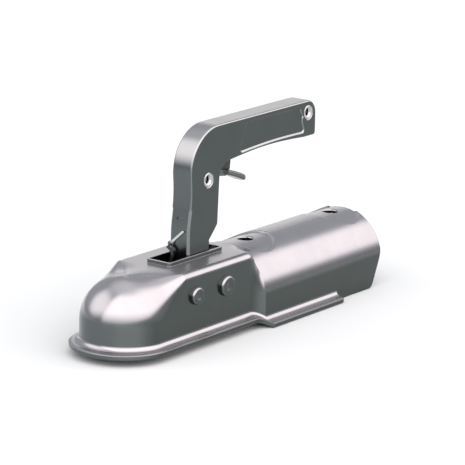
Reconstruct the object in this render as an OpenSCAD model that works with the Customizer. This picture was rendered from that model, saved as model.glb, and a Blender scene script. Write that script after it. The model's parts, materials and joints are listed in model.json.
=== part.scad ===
// Ball coupling head for a round drawbar: pressed body, hand lever with trigger, sprung ball jaw.
// Millimetres. The origin is the centre of the towing ball, +X runs to the drawbar and +Z is up.

/* [Ball and sheet] */
// Diameter of the towing ball
ball_d = 50; // [48:0.5:52]
// Radial room between ball and socket
ball_play = 0.2; // [0.1:0.05:0.4]
// Thickness of the pressed sheet
sheet_t = 4; // [3.4:0.1:4.4]
// Ball centre above the underside of the nose flange
skirt_h = 18.4; // [17:0.2:21]

/* [Flanges] */
// Width of the nose flange beyond the wall
nose_lip_w = 6.8; // [5:0.2:9]
// Width of the drawbar flange beyond the wall
bar_lip_w = 7.8; // [5:0.2:10]
// Radius between a wall and its flange
lip_root_r = 2.4; // [1:0.2:3]
// Radius of a flange's outer edge
lip_edge_r = 1.7; // [0.6:0.1:1.9]
// Radius of the drawbar flange's rear corner
lip_corner_r = 4; // [2:0.5:6]

/* [Deck] */
// Ball centre to the front of the flat side panels
shoulder_x = 27; // [25:0.5:29]
// Outer radius of the deck's long edges
deck_edge_r = 5; // [4.6:0.2:7]
// Deck behind the lever pin
deck_tail = 27; // [25:0.5:32]
// Length of the neck between deck and drawbar seat
neck_len = 10; // [8:0.5:16]
// Height of the slot's collar above the deck
collar_h = 2.5; // [1:0.1:4]
// Thickness of the collar
collar_t = 1.6; // [1.2:0.1:2.2]
// Slot ahead of the lever pin
slot_front = 34.9; // [34.4:0.1:36]
// Slot behind the lever pin
slot_rear = 20.4; // [19.8:0.1:22]

/* [Drawbar seat] */
// Diameter of the drawbar tube
bar_d = 60; // [56:0.5:64]
// Radial room round the drawbar
bar_play = 0.2; // [0.1:0.05:0.4]
// Wall below the drawbar's axis
bar_wall_h = 18; // [14:0.5:24]
// Flange along the drawbar seat
bar_lip_len = 85; // [60:1:100]
// Front of the seat to the first bolt hole
bolt_front = 23; // [20:0.5:30]
// Distance between the two bolt holes
bolt_pitch = 100; // [90:1:110]
// Rear bolt hole to the tail edge
bolt_edge = 16; // [12:0.5:22]
// Diameter of the bolt holes
bolt_hole_d = 10.5; // [8:0.5:13]
// Radius of the pressed seat round a bolt hole
bolt_seat_r = 19.5; // [14:0.5:20]
// Depth of that seat
bolt_seat_depth = 1.2; // [0.5:0.1:1.6]
// Slope of the tail's lower edge, from the vertical
tail_rake = 24.5; // [10:0.5:30]
// Height at which that slope starts, above the drawbar's axis
tail_rake_z = 7.2; // [0:0.2:12]
// Radius of the tail's lower corner
tail_corner_r = 6.5; // [3:0.5:8]

/* [Pins] */
// Height of both pins above the ball centre
pin_z = 12.5; // [12:0.1:13.5]
// Socket wall to the jaw pin
jaw_pin_gap = 13.3; // [13:0.1:15]
// Distance between jaw pin and lever pin
pin_pitch = 32.5; // [32:0.1:34]
// Diameter of the jaw pin
jaw_pin_d = 9; // [7:0.1:9.4]
// Diameter of the lever pin
lever_pin_d = 11; // [9:0.1:12]
// Head of a pin beyond its shank
pin_head_over = 1.5; // [1:0.1:2.5]
// Height of a pin's head
pin_head_h = 3; // [2:0.1:4]
// Radial room of a pin in its hole
pin_play = 0.05; // [0.02:0.01:0.09]

/* [Lever] */
// Thickness of the lever
lever_t = 16; // [15:0.1:17]
// Wall of the lever
lever_wall = 3; // [2.5:0.1:3.2]
// Room between lever and slot at each side
slot_play = 0.5; // [0.3:0.05:0.8]
// Lever pin to the grip's top
grip_z = 102.8; // [100:0.2:112]
// Lever pin to the grip's rear end
grip_x = 128.5; // [120:0.5:140]
// Outer radius of the lever's bend
bend_r = 29.7; // [24:0.2:31]
// Stem's front face ahead of the lever pin, at the slot
stem_front = 14; // [13:0.1:14.2]
// Stem's rear edge behind the lever pin
stem_rear = 19.6; // [18.6:0.1:20.4]
// Depth of the grip at its front
grip_h = 26.6; // [24:0.2:28]
// Radius of the grip's rear top corner
grip_end_r = 10; // [6:0.5:12]
// Depth of the panel pressed into each side of the grip
panel_depth = 1; // [0.5:0.1:1.4]

/* [Trigger and catch] */
// Trigger rivet behind the lever pin
trigger_x = 7; // [6.5:0.1:8]
// Trigger rivet above the lever pin
trigger_z = 67; // [66:0.2:69]
// Slope of the trigger's tab
tab_slope = 16; // [12:0.5:18]
// Trigger rivet to the tip of the tab
tab_reach = 50; // [44:0.5:54]
// Thickness of the tab
tab_t = 4.2; // [3:0.1:5]
// Width of the tab outside the lever
tab_w = 14; // [10:0.5:16]
// Diameter of the lever's hollow rivets
rivet_d = 7; // [6:0.1:8]
// Thickness of the catch rod
rod_t = 3; // [2.4:0.1:3.4]

/* [Ball jaw] */
// Width of the jaw
jaw_w = 30; // [26:0.5:32]
// Outer radius of the jaw's hub
jaw_hub_r = 8; // [7:0.1:8.2]
// Thrust roller ahead of the lever pin
roller_ahead = 15.5; // [15:0.1:16.5]
// Thrust roller below the lever pin
roller_below = 17; // [16:0.1:18]
// Radius of the thrust roller
roller_r = 7; // [6.4:0.1:7.2]
// Radius of the thrust plunger
plunger_r = 7.7; // [6.5:0.1:8]
// Travel of the thrust plunger in the jaw
plunger_travel = 3; // [2:0.1:3.2]

/* [Hidden] */
$fn = 96;
// Sides of what is blended by a hull
blend_fn = 64;
// Gap between faces that move past each other
run_gap = 0.3;
// Spare length of a cutter past a face
over = 6;
// Thickness of the slices that a hull spans
slice_t = 0.02;

socket_r = ball_d / 2 + ball_play;
shell_r = socket_r + sheet_t;
bar_r = bar_d / 2 + bar_play;
tube_r = bar_r + sheet_t;
tube_z = shell_r - tube_r;
nose_z = -skirt_h;
bar_z = tube_z - bar_wall_h;

jaw_x = socket_r + jaw_pin_gap;
lever_x = jaw_x + pin_pitch;
deck_end = lever_x + deck_tail;
tube_x = deck_end + neck_len;
bolt_x = tube_x + bolt_front;
tail_x = bolt_x + bolt_pitch + bolt_edge;

slot_half = lever_t / 2 + slot_play;
slot_corner_r = 1.4;
jaw_pin_r = jaw_pin_d / 2;
lever_pin_r = lever_pin_d / 2;
rivet_r = rivet_d / 2;
channel_half = lever_t / 2 - lever_wall;

// Lever outline, measured from the lever pin
hub_r = 12;
stem_mid = stem_front - 3;
stem_kink_z = 37.5;
stem_mid_z = 54;
stem_step_z = 49.5;
stem_bevel = 2.2;
heel_r = 5.3;
foot_rear = 9.4;
foot_z = 25.6;
foot_top_z = 34;
throat_r = 11;
throat_x = stem_rear + throat_r;
throat_z = grip_z - grip_h;
arch_rise = 2.2;
end_block_len = 13;
end_block_drop = 25.4;
mark_z = 42.5;

// Grip rivet and side panel
grip_rivet_x = grip_x - 9.3;
grip_rivet_z = grip_z - 8.4;
panel_x0 = 41;
panel_x1 = grip_x - 17;
panel_top = 3.2;
panel_foot = 2.6;
panel_r = 3;

// Trigger and the coil beside its hub
trigger_half = channel_half - 0.4;
trigger_hub_r = rivet_r + 3;
trigger_hub_y = 1.4;
trigger_coil_r = rivet_r + 1.1;
trigger_coil_wire = 0.35;
trigger_coil_pitch = 0.85;
trigger_arm_u = trigger_coil_r + trigger_coil_wire + 1.45;
trigger_leg = 4.9;
pad_u = 15.4;
pad_v = tab_t + 5.4;
pad_len = 8.8;
pad_rise = 2.4;
pad_h = 5.6;
tab_root_u = 22;
tab_lift = 2.2;
arm_foot_u = 16;

// Catch rod, measured from the lever pin: eye, straight run, shoulder, foot and nose
rod_eye_x = 10.5;
rod_eye_r = 3.4;
rod_pin_r = 1.6;
rod_half = rod_t / 2;
rod_half_w = 1.6;
rod_side = rod_half + run_gap;
rod_run_x = trigger_x + rod_eye_x - 3.75;
rod_run_top = foot_top_z + 24;
shoulder_z = foot_top_z + 6;
shoulder_t = 1.6;
catch_coil_r = 3.4;
catch_coil_wire = 0.6;
seat_z = foot_top_z + 21;
seat_t = 1.5;
catch_z = 10.5;
nose_x1 = slot_rear - 0.8;
nose_x0 = nose_x1 - 3.2;
notch_rear = slot_rear - 0.1;

// Cross bar that holds the nose
bar_front = hub_r + 0.7;
bar_rear = notch_rear + 3.7;

// Jaw and thrust parts
jaw_floor = nose_z + 1.4;
jaw_tip_x = socket_r * 0.7;
plunger_out = 1.7;
plunger_back = lever_x - roller_ahead - roller_r - run_gap;
jaw_back = plunger_back - plunger_out;
thrust_z = pin_z - roller_below;
plunger_len = 10.7;
plunger_wall = 2.1;
bore_len = plunger_len - plunger_out + plunger_travel + 2.5;
roller_pin_r = 3;
bush_wall = 2.5;
spacer_wall = 2;
jaw_coil_wire = 0.8;
jaw_coil_r = jaw_pin_r + pin_play + spacer_wall + jaw_coil_wire + 0.2;
jaw_coil_y = jaw_w / 2 + jaw_coil_wire + 0.4;
jaw_coil_turns = 3;
jaw_coil_pitch = (socket_r - jaw_coil_y - jaw_coil_wire - run_gap) / jaw_coil_turns;
jaw_coil_leg = roller_below - 3;
main_coil_wire = 0.8;
main_coil_r = plunger_r - plunger_wall - main_coil_wire - 0.5;

// Wear needle on the stem's front face
needle_y = 6;
needle_up = 26;
needle_len = 14;
needle_angle = 137;
needle_t = 1.2;
needle_pin_r = 1.15;
wire_r = 0.8;

// Mark pressed into the stem's front face
mark_w = 4.8;
mark_h = 1.6;
mark_depth = 1;

// Points of an arc about c, from angle a0 to a1
function arc(c, r, a0, a1, n = 10) =
    [for (i = [0:n]) let(a = a0 + (a1 - a0) * i / n) c + r * [cos(a), sin(a)]];

function unit(v) = v / norm(v);

// Helix about Z as a path
function helix(r, length, turns, steps = 14) = let(rise = length / (turns * steps))
    [for (i = [0:turns * steps]) let(a = 360 * i / steps) [r * cos(a), r * sin(a), rise * i]];

// Coil about Z that starts at angle a0, with straight legs of two lengths along its ends' tangents
function legged_coil(r, pitch, turns, a0, leg0, leg1, steps = 14) = let(a1 = a0 + 360 * turns) concat(
    [[r * cos(a0) + leg0 * sin(a0), r * sin(a0) - leg0 * cos(a0), 0]],
    [for (i = [0:turns * steps]) let(a = a0 + 360 * i / steps) [r * cos(a), r * sin(a), pitch * i / steps]],
    [[r * cos(a1) - leg1 * sin(a1), r * sin(a1) + leg1 * cos(a1), pitch * turns]]);

// Round wire swept along a path, its rings turned about the reference direction
module wire(path, r, ref, sides = 6) {
    last = len(path) - 1;
    rings = [for (i = [0:last])
        let(t = unit(path[min(i + 1, last)] - path[max(i - 1, 0)]), n = unit(cross(t, ref)), b = cross(n, t))
        for (k = [0:sides - 1]) path[i] + r * (cos(360 * k / sides) * n + sin(360 * k / sides) * b)];
    walls = [for (i = [0:last - 1], k = [0:sides - 1])
        let(m = (k + 1) % sides, p = i * sides)
        each [[p + k, p + m, p + sides + m], [p + k, p + sides + m, p + sides + k]]];
    caps = [[for (k = [sides - 1:-1:0]) k], [for (k = [0:sides - 1]) last * sides + k]];
    polyhedron(rings, concat(walls, caps));
}

// Extrudes a (y, z) outline from x0 to x1
module along_x(x0, x1) translate([x0, 0, 0]) rotate([90, 0, 90]) linear_extrude(x1 - x0) children();

// Extrudes an (x, z) outline between y0 and y1
module along_y(y0, y1) translate([0, y1, 0]) rotate([90, 0, 0]) linear_extrude(y1 - y0) children();

// Extrudes an (x, y) outline from z0 to z1
module along_z(z0, z1) translate([0, 0, z0]) linear_extrude(z1 - z0) children();

// Round bar along Y
module bar_y(x, z, r, y0, y1) translate([x, y1, z]) rotate([90, 0, 0]) cylinder(r = r, h = y1 - y0);

// Tube along Y
module tube_y(x, z, r_in, r_out, y0, y1) difference() {
    bar_y(x, z, r_out, y0, y1);
    bar_y(x, z, r_in, y0 - over, y1 + over);
}

// Slab with rounded corners, from x0 to x1
module slot_outline(x0, x1, half, r) {
    translate([x0 + r, -half]) square([x1 - x0 - 2 * r, 2 * half]);
    translate([x0, r - half]) square([x1 - x0, 2 * half - 2 * r]);
    for (x = [x0 + r, x1 - r], y = [r - half, half - r]) translate([x, y]) circle(r);
}

// Outline of the box section: walls down to z0, rounded top edges
module box_outline(half, top, z0, edge_r) polygon(concat(
    [[half, z0]], arc([half - edge_r, top - edge_r], edge_r, 0, 90, 6),
    arc([edge_r - half, top - edge_r], edge_r, 90, 180, 6), [[-half, z0]]));

// Outline of the drawbar seat: a round roof on straight walls down to z0
module arch_outline(r, z0) {
    intersection() {
        translate([0, tube_z]) circle(r);
        translate([-r, tube_z]) square([2 * r, r]);
    }
    translate([-r, z0]) square([2 * r, tube_z - z0]);
}

// One wall with its flange, in (distance from the middle, height): inner face, root, edge and underside
module lip_outline(inner, lip_w, z0, top) {
    outer = inner + sheet_t;
    edge = outer + lip_w;
    foot_r = 1;
    polygon(concat([[inner, top]], arc([inner + foot_r, z0 + foot_r], foot_r, 180, 270, 4),
        arc([edge - foot_r, z0 + foot_r], foot_r, 270, 360, 4),
        arc([edge - lip_edge_r, z0 + sheet_t - lip_edge_r], lip_edge_r, 0, 90, 6),
        arc([outer + lip_root_r, z0 + sheet_t + lip_root_r], lip_root_r, 270, 180, 6), [[outer, top]]));
}

// Half of a ball above its middle, for blending
module dome(r) rotate_extrude($fn = blend_fn) polygon(concat([[0, 0]], arc([0, 0], r, 0, 90, blend_fn / 4)));

// Nose that runs from the ball socket out to the box section's shoulders
module nose_blend(r, edge_r) hull() {
    dome(r);
    along_x(shoulder_x - slice_t, shoulder_x) box_outline(r, r, 0, edge_r);
}

// Neck between the box section and the drawbar seat
module neck_blend(half, r, edge_r, drop) hull() {
    along_x(deck_end, deck_end + slice_t) box_outline(half, half, nose_z - drop, edge_r);
    along_x(tube_x - slice_t, tube_x) arch_outline(r, bar_z - drop, $fn = blend_fn);
}

// Flange beside the neck
module neck_lip(side) hull() {
    along_x(deck_end, deck_end + slice_t) scale([side, 1]) lip_strip(socket_r, nose_lip_w, nose_z);
    along_x(tube_x - slice_t, tube_x) scale([side, 1]) lip_strip(bar_r, bar_lip_w, bar_z);
}

module lip_strip(inner, lip_w, z0) {
    edge = inner + sheet_t + lip_w;
    foot_r = 1;
    polygon(concat([[inner + sheet_t / 2, z0]], arc([edge - foot_r, z0 + foot_r], foot_r, 270, 360, 4),
        arc([edge - lip_edge_r, z0 + sheet_t - lip_edge_r], lip_edge_r, 0, 90, 6),
        [[inner + sheet_t / 2, z0 + sheet_t]]));
}

// Collar pressed up round the lever's slot, on a low foot
module slot_collar() translate([0, 0, shell_r - 1]) {
    linear_extrude(collar_h + 1) grown_slot(collar_t);
    linear_extrude(1.7) grown_slot(collar_t + 1);
}

// The lever's slot with its edge moved out
module grown_slot(grow)
    slot_outline(lever_x - slot_front - grow, lever_x + slot_rear + grow, slot_half + grow,
        slot_corner_r + 0.75 * grow);

// Shallow round seat pressed round a bolt hole
module bolt_seat(x) intersection() {
    translate([x, 0, tube_z]) cylinder(r = bolt_seat_r, h = tube_r + over);
    along_x(x - bolt_seat_r, x + bolt_seat_r) difference() {
        translate([0, tube_z]) circle(tube_r + over);
        translate([0, tube_z]) circle(tube_r - bolt_seat_depth);
    }
}

// What the tail's sloping lower edge leaves out
module tail_cut() {
    start_z = tube_z + tail_rake_z;
    corner_z = bar_z + tail_corner_r;
    corner_x = tail_x - (start_z - corner_z) * tan(tail_rake) - tail_corner_r / cos(tail_rake);
    along_y(-tube_r - over, tube_r + over) polygon(concat(
        [[tail_x, start_z]], arc([corner_x, corner_z], tail_corner_r, -tail_rake, -90, 6),
        [[corner_x, bar_z - over], [tail_x + over, bar_z - over], [tail_x + over, start_z]]));
}

// What the rounded rear corners of the drawbar flange leave out
module lip_corner_cut() {
    corner = [tube_x + bar_lip_len - lip_corner_r, tube_r + bar_lip_w - lip_corner_r];
    for (side = [-1, 1]) scale([1, side, 1]) along_z(bar_z - over, bar_z + over) difference() {
        translate(corner) square(lip_corner_r + over);
        translate(corner) circle(lip_corner_r);
    }
}

// Pressed sheet body: ball dome, deck with slotted collar, neck, drawbar seat and turned-out flanges
module housing() color("silver") difference() {
    union() {
        nose_blend(shell_r, deck_edge_r);
        rotate(90) rotate_extrude(angle = 180) lip_outline(socket_r, nose_lip_w, nose_z, 0);
        for (side = [-1, 1]) {
            along_x(0, deck_end) scale([side, 1]) lip_outline(socket_r, nose_lip_w, nose_z, 0);
            along_x(tube_x, tube_x + bar_lip_len) scale([side, 1])
                lip_outline(bar_r, bar_lip_w, bar_z, tube_z);
            neck_lip(side);
        }
        along_x(shoulder_x, deck_end) box_outline(shell_r, shell_r, 0, deck_edge_r);
        neck_blend(shell_r, tube_r, deck_edge_r, 0);
        along_x(tube_x, tail_x) arch_outline(tube_r, bar_z);
        slot_collar();
    }
    nose_blend(socket_r, deck_edge_r - sheet_t);
    along_x(shoulder_x, deck_end) box_outline(socket_r, socket_r, 0, deck_edge_r - sheet_t);
    neck_blend(socket_r, bar_r, deck_edge_r - sheet_t, over);
    along_x(tube_x, tail_x + over) arch_outline(bar_r, bar_z - over);
    translate([0, 0, socket_r / 2]) linear_extrude(shell_r)
        grown_slot(0);
    bar_y(jaw_x, pin_z, jaw_pin_r + pin_play, -shell_r - over, shell_r + over);
    bar_y(lever_x, pin_z, lever_pin_r + pin_play, -shell_r - over, shell_r + over);
    for (x = [bolt_x, bolt_x + bolt_pitch]) {
        translate([x, 0, tube_z]) cylinder(d = bolt_hole_d, h = tube_r + over);
        bolt_seat(x);
    }
    tail_cut();
    lip_corner_cut();
}

// Through pin with a dished head on each side of the body
module headed_pin(x, r) {
    head_r = r + pin_head_over;
    bar_y(x, pin_z, r, -shell_r, shell_r);
    for (side = [0, 180]) translate([x, 0, pin_z]) rotate([0, 0, side]) translate([0, shell_r, 0])
        rotate([-90, 0, 0]) difference() {
            rotate_extrude() polygon(concat([[0, 0], [head_r, 0]],
                arc([head_r - 1.4, pin_head_h - 1.4], 1.4, 0, 90, 5), [[0, pin_head_h]]));
            translate([0, 0, pin_head_h - 0.5]) cylinder(r1 = r * 0.45, r2 = r * 0.62, h = 0.6);
        }
}

module jaw_pin() color("silver") headed_pin(jaw_x, jaw_pin_r);

module lever_pin() color("silver") headed_pin(lever_x, lever_pin_r);

// Two tubes on a pin, from y0 out to the side panels
module pin_tubes(x, r, y0) {
    for (side = [-1, 1]) scale([1, side, 1])
        tube_y(x, pin_z, r + pin_play, r + pin_play + spacer_wall, y0 + run_gap, socket_r - run_gap);
}

module jaw_spacers() color("gray") pin_tubes(jaw_x, jaw_pin_r, jaw_w / 2);

module lever_spacers() color("gray") pin_tubes(lever_x, lever_pin_r, lever_t / 2);

// Cross bar under the deck with the notch for the catch
module catch_bar() color("dimgray") difference() {
    intersection() {
        along_y(-socket_r, socket_r) polygon([
            [lever_x + bar_front, pin_z + 1], [lever_x + bar_rear, pin_z + 1], [lever_x + bar_rear, socket_r],
            [lever_x + bar_front + 1.5, socket_r], [lever_x + bar_front, socket_r - 1.5]]);
        along_x(lever_x, deck_end) box_outline(socket_r, socket_r, 0, deck_edge_r - sheet_t);
    }
    along_y(-slot_half, slot_half) translate([lever_x, pin_z]) polygon([
        [nose_x0, catch_z - run_gap], [notch_rear, catch_z - run_gap],
        [notch_rear, catch_z + over], [nose_x0 - over, catch_z + over]]);
}

// Side view of the lever's stem and grip, measured from the lever pin
module stem_outline() {
    polygon(concat(
        [[-stem_front, hub_r - 4], [-stem_front, stem_kink_z], [-stem_mid, stem_mid_z]],
        arc([bend_r - stem_front + 2, grip_z - bend_r], bend_r, 180, 90, 14),
        arc([grip_x - grip_end_r, grip_z - grip_end_r], grip_end_r, 90, 0, 8),
        arc([grip_x - 1.5, grip_z - end_block_drop + 1.5], 1.5, 0, -90, 4),
        [[grip_x - end_block_len, grip_z - end_block_drop]],
        [for (i = [1:6]) let(u = i / 7) [grip_x - end_block_len - u * (grip_x - end_block_len - throat_x),
            throat_z + arch_rise * sin(180 * u) + (grip_h - end_block_drop) * (1 - u)]],
        arc([throat_x, throat_z - throat_r], throat_r, 90, 180, 8),
        [[stem_rear - 1.4, foot_top_z + 1], [stem_rear - 4, foot_top_z - 2], [foot_rear, foot_z],
            [foot_rear, 4], [0, 0]]));
}

// Channel inside the lever, open to the rear and below
module lever_channel() {
    w = lever_wall;
    polygon(concat(
        [[w - stem_front, hub_r + 1], [w - stem_front, stem_kink_z], [w - stem_mid, stem_mid_z]],
        arc([bend_r - stem_front + 2, grip_z - bend_r], bend_r - w, 180, 90, 14),
        arc([grip_x - grip_end_r, grip_z - grip_end_r], grip_end_r - w, 90, 0, 8),
        [[grip_x - w, throat_z - over], [throat_x, throat_z - 2 * over], [throat_x, -hub_r - over],
            [-roller_ahead - 2 * hub_r, -roller_below - 2 * hub_r], [-roller_ahead - 2 * hub_r, hub_r - 6],
            [w - stem_front, hub_r - 6]]));
}

// Side panel pressed into the grip
module panel_outline() {
    top = grip_z - panel_top;
    foot = throat_z + panel_foot + 1.6;
    polygon(concat(
        arc([panel_x0 + panel_r, foot + panel_r - 1.4], panel_r, 270, 180, 5),
        arc([panel_x0 + 3 * panel_r, top - panel_r], panel_r, 180, 90, 5),
        arc([panel_x1 - panel_r, top - panel_r], panel_r, 90, 0, 5),
        arc([panel_x1 + 3 * panel_r - 1, foot + 3 * panel_r], 2 * panel_r, 150, 215, 5),
        arc([panel_x1 + 1, foot + panel_r], panel_r, 0, -90, 5)));
}

// Side view of what joins the lever's hub to the heel that holds the roller
module heel_outline() polygon([
    [-hub_r * 0.88, hub_r / 4], [-roller_ahead - heel_r * 0.96, heel_r / 5 - roller_below],
    [-roller_ahead + heel_r * 0.68, -roller_below - heel_r * 0.71],
    [hub_r * 0.7, -hub_r * 0.7], [0, hub_r / 2]]);

// Hand lever: two cheeks joined by a front and top wall, with hub, heel and grip
module lever() color("slategray") translate([lever_x, 0, pin_z]) difference() {
    union() {
        bar_y(0, 0, hub_r, -lever_t / 2, lever_t / 2);
        bar_y(-roller_ahead, -roller_below, heel_r, -lever_t / 2, lever_t / 2);
        along_y(-lever_t / 2, lever_t / 2) heel_outline();
        along_y(-lever_t / 2, lever_t / 2) stem_outline();
    }
    along_y(-channel_half, channel_half) lever_channel();
    for (side = [-1, 1]) scale([1, side, 1]) {
        along_y(lever_t / 2 - panel_depth, lever_t) panel_outline();
        stem_bevel_cut();
        for (p = [[trigger_x, trigger_z], [grip_rivet_x, grip_rivet_z]])
            translate([p.x, lever_t / 2 - 1.2, p.y]) rotate([-90, 0, 0])
                cylinder(r1 = rivet_r + 0.6, r2 = rivet_r + 2, h = 1.4);
    }
    bar_y(0, 0, lever_pin_r + pin_play, -lever_t, lever_t);
    bar_y(-roller_ahead, -roller_below, roller_pin_r, -lever_t, lever_t);
    bar_y(trigger_x, trigger_z, rivet_r, -lever_t, lever_t);
    bar_y(grip_rivet_x, grip_rivet_z, rivet_r, -lever_t, lever_t);
    along_x(-stem_front - over, mark_depth - stem_front) translate([-mark_w / 2, mark_z])
        square([mark_w, mark_h]);
    translate([-stem_front - over, needle_y, needle_up]) rotate([0, 90, 0])
        cylinder(r = needle_pin_r + pin_play, h = over + lever_wall);
}

// Bevel of the stem's front edge below the bend
module stem_bevel_cut() along_z(hub_r - 6, stem_step_z) polygon([
    [-stem_front - over, lever_t / 2 + over], [-stem_front - over, lever_t / 2 - stem_bevel],
    [-stem_front, lever_t / 2 - stem_bevel], [stem_bevel - stem_front, lever_t / 2],
    [stem_bevel - stem_front, lever_t / 2 + over]]);

// Tube between the cheeks on the lever pin
module lever_bush() color("gray") tube_y(lever_x, pin_z, lever_pin_r + pin_play,
    lever_pin_r + bush_wall, run_gap - channel_half, channel_half - run_gap);

// Hollow rivet through both cheeks, its ends rolled into the countersinks
module hollow_rivet(x, z) translate([lever_x + x, 0, pin_z + z]) difference() {
    union() {
        bar_y(0, 0, rivet_r - pin_play, -lever_t / 2, lever_t / 2);
        for (side = [0, 180]) rotate([0, 0, side]) translate([0, lever_t / 2 - 1, 0]) rotate([-90, 0, 0])
            cylinder(r1 = rivet_r + 0.4, r2 = rivet_r + 1.4, h = 1);
    }
    bar_y(0, 0, rivet_r - 1.3, -lever_t, lever_t);
}

module trigger_rivet() color("gainsboro") hollow_rivet(trigger_x, trigger_z);

module grip_rivet() color("gainsboro") hollow_rivet(grip_rivet_x, grip_rivet_z);

// Tube that keeps the cheeks apart at the grip's end
module grip_spacer() color("gray") tube_y(lever_x + grip_rivet_x, pin_z + grip_rivet_z, rivet_r + pin_play,
    rivet_r + 1.5, run_gap - channel_half, channel_half - run_gap);

module roller_pin() color("silver")
    bar_y(lever_x - roller_ahead, pin_z - roller_below, roller_pin_r - pin_play, -lever_t / 2, lever_t / 2);

// Roller that presses the plunger
module thrust_roller() color("gray") tube_y(lever_x - roller_ahead, pin_z - roller_below,
    roller_pin_r + pin_play, roller_r, 2 * run_gap - channel_half, channel_half - 2 * run_gap);

// Trigger in the lever's channel with its wide tab behind the stem
module trigger() color("silver") translate([lever_x + trigger_x, 0, pin_z + trigger_z]) difference() {
    union() {
        bar_y(0, 0, trigger_hub_r, -trigger_half, trigger_hub_y);
        along_y(-trigger_half, trigger_half) rotate(-tab_slope) polygon([
            [0, trigger_hub_r - 0.3], [pad_u - 1, pad_v - 0.5], [pad_u + pad_len, pad_v + pad_rise],
            [pad_u + pad_len, tab_t + tab_lift], [tab_root_u + 6, 1.5], [arm_foot_u, -1],
            [0, 0.3 - trigger_hub_r]]);
        along_y(-tab_w / 2, tab_w / 2) rotate(-tab_slope) polygon(concat(
            [[tab_root_u + 2, tab_t + tab_lift + 1.2], [tab_root_u, tab_t + tab_lift], [tab_root_u, 3]],
            arc([tab_reach - tab_t / 2, 1.5 * tab_t + 0.2], tab_t / 2, -90, 90, 6)));
    }
    along_y(trigger_hub_y, lever_t) rotate(-tab_slope) translate([trigger_arm_u - lever_t, -lever_t])
        square([lever_t, 2 * lever_t]);
    bar_y(0, 0, rivet_r + pin_play, -lever_t, lever_t);
    bar_y(rod_eye_x, 0, rod_pin_r, -lever_t, lever_t);
    along_y(-rod_side, rod_side) translate([rod_eye_x - rod_eye_r - 2.4, -lever_t])
        square([2 * rod_eye_r + 3.4, 2 * lever_t]);
}

// Black pad on the crest of the trigger's arm, in the lever's channel
module trigger_pad() color("black") translate([lever_x + trigger_x, 0, pin_z + trigger_z])
    along_y(-trigger_half, trigger_half) rotate(-tab_slope) translate([pad_u, pad_v + 0.05]) polygon([
        [0, 0], [pad_len, pad_rise], [pad_len - pad_h * sin(tab_slope), pad_rise + pad_h * cos(tab_slope)],
        [-pad_h * sin(tab_slope), pad_h * cos(tab_slope)]]);

// Small pin that joins trigger and catch rod
module rod_pin() color("silver") bar_y(lever_x + trigger_x + rod_eye_x, pin_z + trigger_z,
    rod_pin_r - pin_play, -trigger_half, trigger_half);

// Flat rod from the trigger down the stem to the catch nose, its eye slotted across
module catch_rod() color("gray") translate([lever_x, 0, pin_z]) difference() {
    eye = [trigger_x + rod_eye_x, trigger_z];
    x0 = rod_run_x - rod_half_w;
    x1 = rod_run_x + rod_half_w;
    union() {
        bar_y(eye.x, eye.y, rod_eye_r, -rod_half, rod_half);
        along_y(-rod_half, rod_half) polygon([
            [eye.x - rod_half_w, eye.y], [eye.x + rod_half_w, eye.y], [eye.x + rod_half_w, eye.y - rod_eye_r],
            [x1, rod_run_top], [x1, shoulder_z + shoulder_t], [x1 + 2, shoulder_z + shoulder_t],
            [x1 + 2, shoulder_z], [x1, shoulder_z - 2], [foot_rear - 0.6, foot_z - 1], [nose_x1, catch_z + 5],
            [nose_x1, catch_z], [nose_x0 + 1, catch_z], [nose_x0 - 2.4, catch_z + 5.4],
            [foot_rear - 5.2, catch_z + 8.6], [foot_rear - 5.2, foot_z + 1], [x0, shoulder_z - 3],
            [x0 - 2, shoulder_z], [x0 - 2, shoulder_z + shoulder_t], [x0, shoulder_z + shoulder_t],
            [x0, rod_run_top], [eye.x - rod_half_w, eye.y - rod_eye_r]]);
    }
    for (x = [eye.x - 0.4, eye.x]) bar_y(x, eye.y, rod_pin_r, -lever_t, lever_t);
}

// Plate between the cheeks that the catch rod slides through
module spring_seat() color("gray") translate([lever_x, 0, pin_z]) difference() {
    along_y(-channel_half, channel_half) translate([rod_run_x - 4.6, seat_z]) square([9.2, seat_t]);
    along_z(seat_z - over, seat_z + over) translate([rod_run_x - rod_half_w - run_gap, -rod_side])
        square([2 * (rod_half_w + run_gap), 2 * rod_side]);
}

// Coil round the catch rod, between its shoulder and the seat plate
module catch_spring() color("dimgray") {
    foot = shoulder_z + shoulder_t + catch_coil_wire + 0.1;
    translate([lever_x + rod_run_x, 0, pin_z + foot])
        wire(helix(catch_coil_r, seat_z - catch_coil_wire - 0.1 - foot, 5), catch_coil_wire, [0, 0, 1]);
}

// Coil beside the trigger's hub, one leg on the stem's front wall and one on the trigger's arm
module trigger_spring() color("dimgray")
    translate([lever_x + trigger_x, channel_half - trigger_coil_wire - 0.4, pin_z + trigger_z])
        rotate([90, 0, 0]) wire(legged_coil(trigger_coil_r, trigger_coil_pitch, 2, 270,
            trigger_x + stem_mid - lever_wall - 0.1, trigger_leg), trigger_coil_wire, [0, 0, 1]);

// Jaw that closes behind and under the ball, hung on the jaw pin
module ball_jaw() color("slategray") difference() {
    union() {
        bar_y(jaw_x, pin_z, jaw_hub_r, -jaw_w / 2, jaw_w / 2);
        along_y(-jaw_w / 2, jaw_w / 2) polygon([
            [jaw_x - jaw_hub_r, pin_z + 1], [jaw_x + jaw_hub_r * 0.97, pin_z - 2],
            [jaw_back, pin_z - jaw_hub_r], [jaw_back, jaw_floor + 5], [jaw_back - 5, jaw_floor],
            [jaw_tip_x, jaw_floor], [jaw_tip_x, jaw_floor + jaw_hub_r]]);
    }
    sphere(socket_r);
    bar_y(jaw_x, pin_z, jaw_pin_r + pin_play, -jaw_w, jaw_w);
    translate([jaw_back - bore_len, 0, thrust_z]) rotate([0, 90, 0])
        cylinder(r = plunger_r + pin_play, h = bore_len + over);
}

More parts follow.
